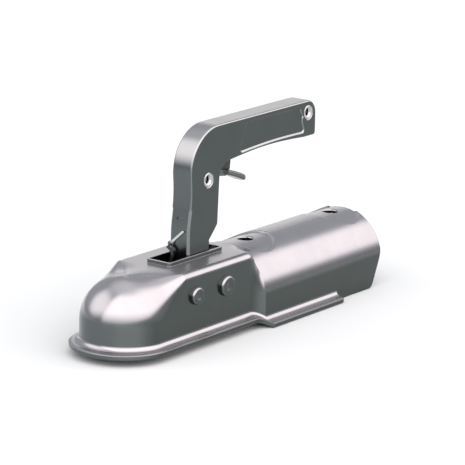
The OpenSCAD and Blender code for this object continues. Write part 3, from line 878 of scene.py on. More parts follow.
def tube_ring(inner: float, outer: float, start: float, end: float, edge: float = 0.3) -> list[Point]:
    """Profile of a turned tube or bar with broken edges.

    Args:
        inner: Bore radius, 0 for a solid bar.
        outer: Outer radius.
        start: First place along the axis.
        end: Last place along it.
        edge: Size of the broken edges.

    Returns:
        Points (radius, place) for a lathe.
    """
    ring = [(outer - edge, start), (outer, start + edge), (outer, end - edge), (outer - edge, end)]
    if inner <= 0:
        return [(0.0, start), *ring, (0.0, end)]
    return ring + [(inner + edge, end), (inner, end - edge), (inner, start + edge), (inner + edge, start)]


def bore(place: Point, radius: float, sides: int = 40) -> bpy.types.Object:
    """Cutter of one hole across the lever or the trigger.

    Args:
        place: Place (x, z) of its axis.
        radius: Its radius.
        sides: Number of its sides.

    Returns:
        A closed mesh.
    """
    return lathe("bore_cutter", rod(radius, -20.0, 20.0), (place[0], 0.0, place[1]), ACROSS, sides)


def refined(node: str, width: float) -> bpy.types.Object:
    """Copy of a solid with its sharp edges broken.

    Args:
        node: The solid's name.
        width: Width of the broken edges in millimetres.

    Returns:
        The new piece.
    """
    solid = frame["nodes"][node]
    piece = bpy.data.objects.new(node + "_worked", solid.data.copy())
    bpy.context.scene.collection.objects.link(piece)
    in_edit(piece, weld, lambda: bpy.ops.mesh.dissolve_limited(angle_limit=math.radians(1.0)))
    bevel(piece, width, 2, 38)
    return flatten(piece, 30)


@dataclass
class Lever:
    """Hand lever: two cheeks joined by a front and top wall, a pressed panel in each side of its grip."""

    pin: Point = (SIZES.lever_x, SIZES.pin_z)
    half: float = 8.0
    channel: float = 5.0
    wall: float = 3.0
    hub_r: float = 12.0
    heel_r: float = 5.3
    roller: Point = (-15.5, -17.0)
    edge: float = 1.35
    front: float = 14.0
    bevel_top: float = 49.5
    bend: tuple[float, float, float] = (17.7, 73.1, 29.7)
    grip: Point = (128.5, 102.8)
    end_r: float = 10.0
    throat: tuple[float, float, float] = (30.6, 65.2, 11.0)
    rivets: tuple[Point, Point] = ((7.0, 67.0), (119.2, 94.4))
    rivet_r: float = 3.5
    grip_depth: float = 25.4
    toe: float = 13.0
    toe_r: float = 2.2
    palm_fall: float = 1.2
    palm_rise: float = 2.2
    panel_start: float = 44.0
    panel_end: float = 17.0
    panel_top: float = 3.2
    panel_foot: float = 22.4
    panel_r: float = 3.0
    panel_depth: float = 1.0

    def at(self, place: Point) -> Point:
        """Move a point measured from the lever pin into the row frame."""
        return (place[0] + self.pin[0], place[1] + self.pin[1])

    def shift(self, points: Iterable[Point]) -> list[Point]:
        """Move points measured from the lever pin into the row frame."""
        return [self.at(point) for point in points]

    def stem_front(self) -> list[Point]:
        """Front line of the stem, from the slot up to the bend."""
        marks = [(-14.0, 24.0), (-14.0, 34.0), (-13.5, 40.0), (-12.0, 49.5), (-11.3, 57.0), (-11.4, 65.0),
                 (self.bend[0] - self.bend[2], self.bend[1])]
        return [(x, z) for x, z, _ in bent([(x, z, 0.0) for x, z in marks], 4)]

    def outline(self) -> list[Point]:
        """Side view of stem and grip."""
        x, z, r = self.bend
        points = [(-self.front, self.hub_r - 4)] + self.stem_front()[:-1] + arc((x, z), r, 180, 90, 28)
        points += arc((self.grip[0] - self.end_r, self.grip[1] - self.end_r), self.end_r, 90, 0, 14)
        foot, toe = self.grip[1] - self.grip_depth, self.grip[0] - self.toe
        points += arc((self.grip[0] - self.toe_r, foot + self.toe_r), self.toe_r, 0, -90, 6) + [(toe, foot)]
        run = toe - self.throat[0]
        for i in range(1, 16):
            u = i / 16
            points.append((toe - u * run, foot - self.palm_fall * u + self.palm_rise * math.sin(math.pi * u)))
        points += arc(self.throat[:2], self.throat[2], 90, 180, 14)
        return points + [(18.2, 35.0), (15.6, 32.0), (9.4, 25.6), (9.4, 4.0), (0.0, 0.0)]

    def channel_outline(self) -> list[Point]:
        """Side view of the open channel inside."""
        w, front = self.wall, self.front
        x, z, r = self.bend
        points = [(w - front, 13.0), (w - front, 37.5), (w + 3.0 - front, 54.0)] + arc((x, z), r - w, 180, 90, 22)
        points += arc((self.grip[0] - self.end_r, self.grip[1] - self.end_r), self.end_r - w, 90, 0, 10)
        return points + [(self.grip[0] - w, 70.0), (self.throat[0], 64.0), (self.throat[0], -18.0),
                         (-39.5, -41.0), (-39.5, 6.0), (w - front, 6.0)]

    def panel(self) -> list[Point]:
        """Outline of the panel pressed into the grip."""
        start, end = self.panel_start, self.grip[0] - self.panel_end
        foot, top, r = self.grip[1] - self.panel_foot, self.grip[1] - self.panel_top, self.panel_r
        points = arc((start, foot + 1.6), r, 270, 180, 8) + arc((start + 6.0, top - r), r, 180, 90, 8)
        points += arc((end - r, top - r), r, 90, 0, 8) + arc((end + 8.0, foot + 9.0), 6.0, 150, 215, 8)
        points += arc((end + 1.0, foot + r), r, 0, -90, 8)
        run = end + 1.0 - start
        return points + [(start + run * (1 - u), foot + 0.9 * math.sin(math.pi * u) - 1.4 * u)
                         for u in (i / 10 for i in range(1, 10))]

    def pocket(self, side: int) -> bpy.types.Object:
        """Cutter of one pressed panel: a flat floor, sloped walls and a soft rim."""
        line = self.shift(self.panel())
        floor = self.half - self.panel_depth
        steps = ((0.0, -1.5), (0.07, -1.15), (0.26, -0.9), (0.7, -0.55), (0.88, -0.3), (0.97, 0.1), (1.6, 1.5))
        return loft("pocket_cutter", [[(x, side * (floor + rise), z) for x, z in offset(line, grow)]
                                      for rise, grow in steps])

    def sink(self, place: Point, side: int) -> bpy.types.Object:
        """Cutter of one rivet's countersink."""
        x, z = self.at(place)
        profile = [(0.0, 6.8), (4.1, 6.8), (5.2, 7.75), (5.75, 8.2), (0.0, 8.2)]
        return lathe("sink_cutter", [(r, side * y) for r, y in profile], (x, 0.0, z), ACROSS, 40)

    def front_bevel(self, side: int) -> bpy.types.Object:
        """Cutter of the flat bevel along one front edge of the stem."""
        x, z = self.pin
        run = 1.5
        rows = []
        for face, height in [(-self.front, 6.0)] + [p for p in self.stem_front() if p[1] <= self.bevel_top]:
            front, height = x + face, z + height
            corner = [(front - 3.0, self.half + 3.0), (front - 3.0, self.half - run), (front, self.half - run),
                      (front + run, self.half), (front + run, self.half + 3.0)]
            rows.append([(u, side * v, height) for u, v in corner])
        return loft("bevel_cutter", rows)

    def build(self) -> bpy.types.Object:
        """Model the lever.

        Returns:
            The mesh.
        """
        piece = prism("hand_lever", self.shift(self.outline()), Axis.Y, -self.half, self.half)
        bevel(piece, self.edge, 4, 50)
        hub = [(-self.hub_r * 0.88, 3.0), (self.roller[0] - self.heel_r * 0.96, 1.06 + self.roller[1]),
               (self.roller[0] + self.heel_r * 0.68, self.roller[1] - self.heel_r * 0.71),
               (self.hub_r * 0.7, -self.hub_r * 0.7), (0.0, 6.0)]
        arm = prism("heel_arm", self.shift(hub), Axis.Y, -self.half, self.half)
        rounds = []
        for centre, radius in (((0.0, 0.0), self.hub_r), (self.roller, self.heel_r)):
            x, z = self.at(centre)
            rounds.append(lathe("boss", tube_ring(0.0, radius, -self.half, self.half, 0.6), (x, 0.0, z),
                                ACROSS, 72))
        cut(piece, arm, *rounds, operation="UNION")
        cut(piece, prism("channel_cutter", self.shift(self.channel_outline()), Axis.Y, -self.channel, self.channel))
        for side in (-1, 1):
            cut(piece, self.pocket(side), self.front_bevel(side), *(self.sink(p, side) for p in self.rivets))
        holes = [((0.0, 0.0), 5.55), (self.roller, 3.0)] + [(rivet, self.rivet_r) for rivet in self.rivets]
        cut(piece, *(bore(self.at(hole), radius) for hole, radius in holes))
        x, z = self.pin
        mark = [(-2.4, z + 42.5), (2.4, z + 42.5), (2.4, z + 44.1), (-2.4, z + 44.1)]
        cut(piece, prism("mark_cutter", mark, Axis.X, x - self.front - 2, x - self.front + 1.6),
            lathe("pin_cutter", rod(1.2, -4.0, 6.0), (x - self.front, *SIZES.needle), ALONG, 24))
        in_edit(piece, weld)
        return flatten(piece)


@dataclass
class Trigger:
    """Trigger under the grip: a forked arm in the channel, a wide rounded tab and a black pad."""

    rivet: Point = SIZES.trigger_pin
    slope: float = -16.0
    half: float = 4.6
    hub_r: float = 6.5
    tab_half: float = 7.0
    tab_start: float = 22.0
    tab_end: float = 46.0
    tab_t: float = 4.2

    def turned(self, u: float, v: float) -> Point:
        """Row place (x, z) of a point measured along and across the sloped arm."""
        a = math.radians(self.slope)
        return (self.rivet[0] + u * math.cos(a) - v * math.sin(a), self.rivet[1] + u * math.sin(a) + v * math.cos(a))

    def tab(self) -> bpy.types.Object:
        """Wide tab with a rounded tip and soft edges."""
        rows = []
        length = self.tab_end - self.tab_start
        for i in range(25):
            t = i / 24
            u = self.tab_start + length * (1 - (1 - t) ** 1.7)
            left = self.tab_end - u
            tip = math.sqrt(max(0.0, 1 - max(0.0, 1 - left / 6.0) ** 2))
            end = math.sqrt(max(0.0, 1 - max(0.0, 1 - left / 2.0) ** 2))
            wide, thick = self.tab_half * (0.42 + 0.58 * tip), self.tab_t / 2 * (0.08 + 0.92 * end)
            middle = mix(7.3, 5.0, t) + 0.35 * math.sin(math.pi * t)
            ring = []
            for k in range(32):
                a = math.tau * k / 32
                y = math.copysign(abs(math.cos(a)) ** 0.45, math.cos(a)) * wide * (1.0 if i < 24 else 0.9)
                v = math.copysign(abs(math.sin(a)) ** 0.7, math.sin(a)) * thick
                x, z = self.turned(u, middle + v)
                ring.append((x, y, z))
            rows.append(ring)
        return loft("trigger_tab", rows)

    def build(self) -> bpy.types.Object:
        """Model the trigger.

        Returns:
            The mesh.
        """
        line = [(0.0, self.hub_r - 0.3), (14.2, 7.6), (26.6, 9.4), (27.4, 6.4), (22.5, 4.4), (13.0, 3.3),
                (8.0, -2.0), (0.0, 0.3 - self.hub_r)]
        piece = prism("trigger_blade", [self.turned(*p) for p in line], Axis.Y, -self.half, self.half)
        bevel(piece, 0.5, 2, 30)
        x, z = self.rivet
        cut(piece, self.tab(), lathe("hub", tube_ring(0.0, self.hub_r, -self.half, 1.4), (x, 0.0, z), ACROSS, 56),
            operation="UNION")
        window = [self.turned(*p) for p in ((-10.0, -16.0), (6.2, -16.0), (6.2, 16.0), (-10.0, 16.0))]
        fork = [(x + 4.7, z - 16), (x + 14.9, z - 16), (x + 14.9, z + 16), (x + 4.7, z + 16)]
        cut(piece, prism("coil_window", window, Axis.Y, 1.4, 16.0), prism("fork_cutter", fork, Axis.Y, -1.8, 1.8),
            bore(self.rivet, 3.55), bore(SIZES.rod_pin, 1.6, 24))
        in_edit(piece, weld)
        return flatten(piece)

    def pad(self) -> bpy.types.Object:
        """Black pad on the crest of the arm."""
        thick = 5.6
        lean = (-math.sin(math.radians(self.slope)) * thick, math.cos(math.radians(self.slope)) * thick)
        line = [(15.4, 7.85), (26.6, 9.45), (26.6 - lean[0], 12.4 + lean[1]), (15.4 - lean[0], 9.65 + lean[1])]
        piece = prism("grip_pad", [self.turned(*p) for p in line], Axis.Y, -self.half, self.half)
        bevel(piece, 0.7, 3, 30)
        return smooth(piece, 40)


@dataclass
class Turned:
    """Turned, drawn and rolled parts: pins, rivets, tubes, roller and plunger."""

    sizes: Sizes = SIZES

    def headed_pin(self, name: str, x: float, r: float) -> bpy.types.Object:
        """Through pin with a rounded, slightly dished head on each side.

        Args:
            name: The piece's name.
            x: Place of its axis.
            r: Radius of its shank.

        Returns:
            The mesh.
        """
        wall = self.sizes.shell_r
        head, top, soft = r + 1.5, wall + 3.0, 1.7
        half = [(r, wall), (head, wall)] + arc((head - soft, top - soft), soft, 0, 90, 7)
        half += [(0.62 * r, top), (0.5 * r, top - 0.12), (0.36 * r, top - 0.42), (0.0, top - 0.5)]
        profile = [(radius, -y) for radius, y in half[::-1]] + half
        return smooth(lathe(name, profile, (x, 0.0, self.sizes.pin_z), ACROSS, 72), 40)

    def hollow_rivet(self, name: str, place: Point) -> bpy.types.Object:
        """Hollow rivet whose ends are rolled over into the cheeks.

        Args:
            name: The piece's name.
            place: Place (x, z) of its axis.

        Returns:
            The mesh.
        """
        half = [(3.45, 5.9), (3.5, 7.0), (4.7, 7.45), (4.85, 7.75), (4.55, 8.0), (3.9, 7.97), (3.2, 7.7), (2.6, 7.1),
                (2.25, 6.1), (2.2, 4.5)]
        profile = half + [(radius, -y) for radius, y in half[::-1]]
        return smooth(lathe(name, profile, (place[0], 0.0, place[1]), ACROSS, 56), 45)

    def tubes(self, name: str, place: Point, inner: float, outer: float, *runs: Point) -> bpy.types.Object:
        """Tubes or bars that share an axis across the part.

        Args:
            name: The piece's name.
            place: Place (x, z) of the axis.
            inner: Bore radius, 0 for a bar.
            outer: Outer radius.
            runs: First and last place of each across the part.

        Returns:
            The mesh.
        """
        origin = (place[0], 0.0, place[1])
        return smooth(join(*(lathe(name, tube_ring(inner, outer, *run), origin, ACROSS, 56) for run in runs)), 30)

    def plunger(self) -> bpy.types.Object:
        """Cup that the roller presses, its outer edge rounded."""
        r, wall, length, soft = 7.7, 2.1, 10.7, 1.2
        profile = [(0.0, 0.0), (r - soft, 0.0)] + arc((r - soft, soft), soft, 270, 360, 5)
        profile += [(r, length), (r - wall, length), (r - wall, wall), (0.0, wall)]
        return smooth(lathe("thrust_cup", profile, (48.2, 0.0, -4.5), Vector((-1, 0, 0)), 56), 35)


@dataclass
class Wires:
    """Round wires: the coils and the feeler wire, and the pale pointer with its pin."""

    pin: Point = (SIZES.lever_x, SIZES.pin_z)

    @staticmethod
    def coil(radius: float, pitch: float, turns: float, start: float, legs: Point = (0.0, 0.0)) -> list[Vector]:
        """Middle line of a coil about Z with straight legs.

        Args:
            radius: Radius of the coil's middle line.
            pitch: Rise of a turn.
            turns: Number of turns.
            start: First angle in degrees.
            legs: Lengths of the legs along its ends' tangents.

        Returns:
            The points.
        """
        steps = round(turns * 28)
        path = []
        for i in range(steps + 1):
            a = math.radians(start + 360 * turns * i / steps)
            path.append(Vector((radius * math.cos(a), radius * math.sin(a), pitch * turns * i / steps)))
        tangents = [Vector((-math.sin(a), math.cos(a), 0))
                    for a in (math.radians(start), math.radians(start + 360 * turns))]
        if legs[0]:
            path.insert(0, path[0] - legs[0] * tangents[0])
        if legs[1]:
            path.append(path[-1] + legs[1] * tangents[1])
        return path

    def placed(self, name: str, path: Sequence[Vector], turn: Matrix, origin: Point3,
               radius: float) -> bpy.types.Object:
        """Sweep a coil that is turned and moved into place."""
        return smooth(wire(name, [tuple(turn @ p + Vector(origin)) for p in path], radius), 60)

    def catch_coil(self) -> bpy.types.Object:
        """Coil round the catch rod."""
        x, z = self.pin
        foot, head = 42.3, 54.3
        path = self.coil(3.4, (head - foot) / 5, 5, 0)
        return self.placed("catch_coil", path, Matrix.Identity(3), (x + 13.75, 0.0, z + foot), 0.6)

    def trigger_coil(self) -> bpy.types.Object:
        """Coil beside the trigger's hub."""
        x, z = SIZES.trigger_pin
        path = self.coil(4.6, 0.85, 2, 270, (14.9, 4.9))
        return self.placed("trigger_coil", path, Matrix.Rotation(math.pi / 2, 3, "X"), (x, 4.25, z), 0.35)

    def main_coil(self) -> bpy.types.Object:
        """Coil between the jaw's bore and the plunger."""
        path = self.coil(4.3, 2.64, 4, 0)
        return self.placed("thrust_coil", path, Matrix.Rotation(math.pi / 2, 3, "Y"), (33.6, 0.0, -4.5), 0.8)

    def jaw_coil(self) -> bpy.types.Object:
        """Coil that opens the jaw."""
        origin = (SIZES.jaw_x, -16.2, SIZES.pin_z)
        path = self.coil(7.55, 7.0 / 3, 3, 0, (14.0, 12.4))
        return self.placed("jaw_coil", path, Matrix.Rotation(math.pi / 2, 3, "X"), origin, 0.8)

    def feeler(self) -> bpy.types.Object:
        """Bent black wire beside the pointer's foot."""
        x, z = self.pin
        path = bent([(x - 17.0, 7.0, z + 24.0), (x - 17.2, 4.5, z + 22.5), (x - 17.4, 3.0, z + 20.0),
                     (x - 17.4, 2.8, z + 17.5), (x - 17.0, 4.2, z + 14.0), (x - 15.6, 4.5, z + 11.5),
                     (x - 14.3, 4.5, z + 11.0)], 7)
        return smooth(wire("feeler", path, 1.1), 60)

    def pointer(self) -> bpy.types.Object:
        """Pale pointer: a round eye and a slim rounded arm."""
        y, z = SIZES.needle
        eye, arm, tip = 1.7, 0.7, 14.0
        along = Vector((math.cos(math.radians(137)), math.sin(math.radians(137))))
        side = Vector((-along.y, along.x))
        line = [(eye * math.cos(math.radians(a)), eye * math.sin(math.radians(a))) for a in range(30, 331, 20)]
        line += [(tip - 0.6, -arm), (tip - 0.15, -0.45), (tip, 0.0), (tip - 0.15, 0.45), (tip - 0.6, arm)]
        outline = [tuple(Vector((y, z)) + along * u + side * v) for u, v in line]
        piece = prism("pointer", outline, Axis.X, 55.6, 56.8)
        bevel(piece, 0.3, 3, 50)
        cut(piece, lathe("eye_cutter", rod(1.2, -5.0, 5.0), (56.2, y, z), ALONG, 24))
        return smooth(piece, 35)

    def pointer_pin(self) -> bpy.types.Object:
        """Small headed pin of the pointer."""
        profile = [(0.0, 54.6), (1.2, 54.65), (1.65, 54.85), (1.8, 55.15), (1.8, 55.4), (1.15, 55.4), (1.15, 59.0),
                   (0.0, 59.0)]
        return smooth(lathe("pointer_pin", profile, (0.0, *SIZES.needle), ALONG, 32), 35)


class Sock:
    """A shader value: a node's output that Python operators build on."""

    def __init__(self, tree: bpy.types.NodeTree, link: bpy.types.NodeSocket) -> None:
        """Wrap an output socket of a tree."""
        self.tree = tree
        self.link = link

    def _math(self, operation: str, other: "Sock | float", flip: bool = False) -> "Sock":
        """Add a Math node.

        Args:
            operation: The Math node's operation.
            other: Its other input.
            flip: Whether the wrapped value comes second.

        Returns:
            The node's output.
        """
        values = (other, self) if flip else (self, other)
        return make_node(self.tree, "ShaderNodeMath", {"operation": operation}, dict(enumerate(values)))

    def __add__(self, other: "Sock | float") -> "Sock":
        """Sum."""
        return self._math("ADD", other)

    __radd__ = __add__

    def __sub__(self, other: "Sock | float") -> "Sock":
        """Difference."""
        return self._math("SUBTRACT", other)

    def __rsub__(self, other: float) -> "Sock":
        """Difference from a number."""
        return self._math("SUBTRACT", other, flip=True)

    def __mul__(self, other: "Sock | float") -> "Sock":
        """Product."""
        return self._math("MULTIPLY", other)

    __rmul__ = __mul__

    def clamp(self) -> "Sock":
        """Hold the value between 0 and 1."""
        return make_node(self.tree, "ShaderNodeClamp", {}, {"Value": self})

    def ramp(self, low: float, high: float) -> "Sock":
        """Map low to 0 and high to 1, smoothly.

        Args:
            low: Value that becomes 0.
            high: Value that becomes 1.

        Returns:
            The mapped value.
        """
        inputs = {"Value": self, "From Min": low, "From Max": high, "To Min": 0.0, "To Max": 1.0}
        return make_node(self.tree, "ShaderNodeMapRange", {"interpolation_type": "SMOOTHSTEP"}, inputs, "Result")

    def axis(self, index: int) -> "Sock":
        """One component of a vector."""
        return make_node(self.tree, "ShaderNodeSeparateXYZ", {}, {"Vector": self}, index)

    def into(self, node: bpy.types.Node, name: str) -> None:
        """Link the value to an input of a node."""
        self.tree.links.new(self.link, node.inputs[name])


def make_node(tree: bpy.types.NodeTree, kind: str, settings: dict, inputs: dict, out: int | str = 0) -> Sock:
    """Add a shader node.

    Args:
        tree: The tree that gets it.
        kind: The node's type.
        settings: Its properties, set before its inputs.
        inputs: Values or Socks by input name or place.
        out: Name or place of the output that is returned.

    Returns:
        The chosen output.
    """
    node = tree.nodes.new(kind)
    for name, value in settings.items():
        setattr(node, name, value)
    for name, value in inputs.items():
        if isinstance(value, Sock):
            tree.links.new(value.link, node.inputs[name])
        else:
            node.inputs[name].default_value = value
    return Sock(tree, node.outputs[out])


def blend(factor: Sock, low: "Sock | Sequence[float]", high: "Sock | Sequence[float]") -> Sock:
    """Mix two colours.

    Args:
        factor: Share of the second colour.
        low: First colour.
        high: Second colour.

    Returns:
        The mixed colour.
    """
    return make_node(factor.tree, "ShaderNodeMix", {"data_type": "RGBA"}, {0: factor, 6: low, 7: high}, 2)


def noise(place: Sock, scale: float, detail: float) -> Sock:
    """Noise over a surface, from 0 to 1."""
    return make_node(place.tree, "ShaderNodeTexNoise", {}, {"Vector": place, "Scale": scale, "Detail": detail})


def relief(height: Sock, strength: float) -> Sock:
    """Surface normal of a fine relief."""
    inputs = {"Strength": strength, "Distance": 0.0002, "Height": height}
    return make_node(height.tree, "ShaderNodeBump", {}, inputs)


def started(name: str) -> tuple[bpy.types.Material, bpy.types.NodeTree, bpy.types.Node]:
    """Start a material.

    Args:
        name: Its name.

    Returns:
        The material, its node tree and its shader.
    """
    material = bpy.data.materials.new(name)
    material.use_nodes = True
    return material, material.node_tree, material.node_tree.nodes["Principled BSDF"]


def rgb(red: float, green: float, blue: float) -> tuple[float, float, float, float]:
    """A colour with full alpha."""
    return (red, green, blue, 1.0)


@dataclass(frozen=True)
class Zinc:
    """Zinc plate over pressed or cut sheet: a little cloudy and finely grained, with painted shade and painted
    highlight by facing: vertical faces darkened; upward faces, faces turned along −X and 45° corners lighter.

    A band is the pair of values between which one look passes into the next.
    """

    name: str
    # Painted light: the lighter base colour of upward faces.
    tone: Point3 = (0.47, 0.455, 0.465)
    # Painted shade: the darkened base colour of vertical faces.
    dark: Point3 = (0.077, 0.089, 0.085)
    # Painted shade to light: upward normal values over which the colour passes from the darkened walls to the lighter
    # tops.
    painted_top_light_band: Point = (0.1, 0.42)
    # Painted light: the lighter base colour of faces turned along −X, and the band over which it fades in.
    front: Point3 = (0.122, 0.138, 0.138)
    painted_front_light_band: Point = (0.08, 0.6)
    # Painted glint: the share, colour and band of a lighter base colour on faces turned 45° between −X and the sides.
    corner: float = 0.0
    painted_glint_tone: Point3 = (0.3, 0.31, 0.31)
    painted_glint_band: Point = (0.1, 0.24)
    cloud: float = 55.0
    cloud_band: Point = (0.38, 0.72)
    patches: float = 0.05
    roughness: float = 0.22
    flat_band: Point = (0.975, 1.0)
    flat_matt: float = 0.12
    grain: float = 0.05
    grain_scale: float = 2600.0

    def build(self) -> bpy.types.Material:
        """Make the material.

        Returns:
            The material, read in Object coordinates.
        """
        material, tree, shader = started(self.name)
        place, normal = (make_node(tree, "ShaderNodeTexCoord", {}, {}, kind) for kind in ("Object", "Normal"))
        back, aside, up = (normal.axis(i) for i in range(3))
        cloud, grain = noise(place, self.cloud, 3.0), noise(place, self.grain_scale, 2.0)
        turned = back * aside
        # Painted light: faces turned along −X get a lighter colour than the other vertical faces.
        low = blend((back * -1.0).ramp(*self.painted_front_light_band), rgb(*self.dark), rgb(*self.front))
        # Painted glint: faces turned 45° between −X and the sides get a lighter colour.
        low = blend((turned * turned).ramp(*self.painted_glint_band) * self.corner, low, rgb(*self.painted_glint_tone))
        # Painted shade and light: vertical faces get the darkened colour, upward faces the lighter tone.
        tone = blend(up.ramp(*self.painted_top_light_band), low, rgb(*self.tone))
        shade = 1.0 - cloud.ramp(*self.cloud_band) * self.patches
        # Base colour: the painted shade and highlight by facing, darkened at random in cloudy patches.
        painted_shade_and_mottle = make_node(tree, "ShaderNodeVectorMath", {"operation": "SCALE"}, {0: tone, "Scale": shade}, "Vector")
        painted_shade_and_mottle.into(shader, "Base Color")
        rough = self.roughness + up.ramp(*self.flat_band) * self.flat_matt
        rough = rough + (cloud - 0.5) * 0.02 + (grain - 0.5) * self.grain
        rough.clamp().into(shader, "Roughness")
        shader.inputs["Metallic"].default_value = 1.0
        relief(grain, 0.06).into(shader, "Normal")
        return material


@dataclass(frozen=True)
class Plastic:
    """Moulded plastic with a fine matt grain."""

    name: str
    tone: Point3
    roughness: float = 0.5

    def build(self) -> bpy.types.Material:
        """Make the material.

        Returns:
            The material, read in Object coordinates.
        """
        material, tree, shader = started(self.name)
        grain = noise(make_node(tree, "ShaderNodeTexCoord", {}, {}, "Object"), 1500.0, 2.0)
        tone = blend(grain * 0.3, rgb(*self.tone), rgb(*(0.7 * c for c in self.tone)))
        tone.into(shader, "Base Color")
        (self.roughness + (grain - 0.5) * 0.15).into(shader, "Roughness")
        relief(grain, 0.15).into(shader, "Normal")
        return material


FINISHES: tuple[Zinc | Plastic, ...] = (
    # In each Zinc finish the second colour is painted light on upward faces, the third painted shade on vertical
    # faces; front and corner set painted highlights.
    Zinc("zinc_body", corner=0.12),
    Zinc("zinc_lever", (0.45, 0.45, 0.45), (0.077, 0.089, 0.086), painted_top_light_band=(0.1, 0.5), corner=0.6),
    Zinc("zinc_trigger", (0.33, 0.34, 0.32), (0.13, 0.14, 0.13)),
    Zinc("zinc_pin", (0.42, 0.42, 0.42), (0.08, 0.09, 0.088)),
    Zinc("bright_rivet", (0.75, 0.75, 0.75), (0.5, 0.5, 0.5), front=(0.5, 0.5, 0.5), roughness=0.16),
    Zinc("plain_steel", (0.25, 0.25, 0.25), (0.18, 0.18, 0.18), roughness=0.38),
    Zinc("spring_wire", (0.05, 0.05, 0.052), (0.035, 0.035, 0.037), front=(0.035, 0.035, 0.037), roughness=0.34),
    Zinc("cast_jaw", (0.16, 0.16, 0.16), (0.12, 0.12, 0.12), roughness=0.5, grain=0.2),
    Plastic("black_plastic", (0.012, 0.012, 0.013)),
    Plastic("pale_needle", (0.5, 0.54, 0.53), 0.4),
)


class Finishes:
    """The part's materials, made once and given out by the record's slot names."""

    def __init__(self) -> None:
        """Build every finish."""
        self.made = {finish.name: finish.build() for finish in FINISHES}

    def dress_nodes(self) -> None:
        """Give every solid of the frame the finish of its slot."""
        for part in frame["record"]["subparts"]:
            solid = frame["nodes"][part["node"]]
            solid.data.materials.clear()
            solid.data.materials.append(self.made[part["material_slot"]])

    def dress(self, piece: bpy.types.Object, slot: str) -> None:
        """Give a new piece the finish of a slot.

        Args:
            piece: The piece.
            slot: The record's slot name.
        """
        piece.data.materials.clear()
        piece.data.materials.append(self.made[slot])


@dataclass(frozen=True)
class Glow:
    """One soft light of the room: where it stands as seen from the object, how wide it is and its colour."""

    bearing: float
    height: float
    core: float
    fade: float
    tone: Point3

    def over(self, light: Sock, way: Sock) -> Sock:
        """Add this light to the room's.

        Args:
            light: Light of the room so far.
            way: Direction that is looked in.

        Returns:
            The light with this one in it.
        """
        b, h = math.radians(self.bearing), math.radians(self.height)
        aim = (math.cos(h) * math.cos(b), math.cos(h) * math.sin(b), math.sin(h))
        near = make_node(way.tree, "ShaderNodeVectorMath", {"operation": "DOT_PRODUCT"}, {0: way, 1: aim}, "Value")
        share = near.ramp(math.cos(math.radians(self.fade)), math.cos(math.radians(self.core)))
        return blend(share, light, rgb(*self.tone))


@dataclass(frozen=True)
class Bank:
    """Long bank of soft light along the near side, from just above the floor to overhead."""

    tone: Point3 = (2.33, 2.2, 2.23)
    lean: float = 0.25
    bow: float = 0.18
    edge: Point = (-0.04, 0.11)
    foot: Point = (0.05, 0.17)
    rise: float = 0.1
    fall: float = 0.22

    def over(self, light: Sock, way: Sock) -> Sock:
        """Add the bank to the room's light.

        Args:
            light: Light of the room so far.
            way: Direction that is looked in.

        Returns:
            The light with the bank in it.
        """
        along, across, up = (way.axis(i) for i in range(3))
        near = along * along * self.bow - along * self.lean - across
        share = near.ramp(*self.edge) * (up - along * self.rise).ramp(*self.foot) * (1.0 - along * self.fall).clamp()
        return blend(share, light, rgb(*self.tone))


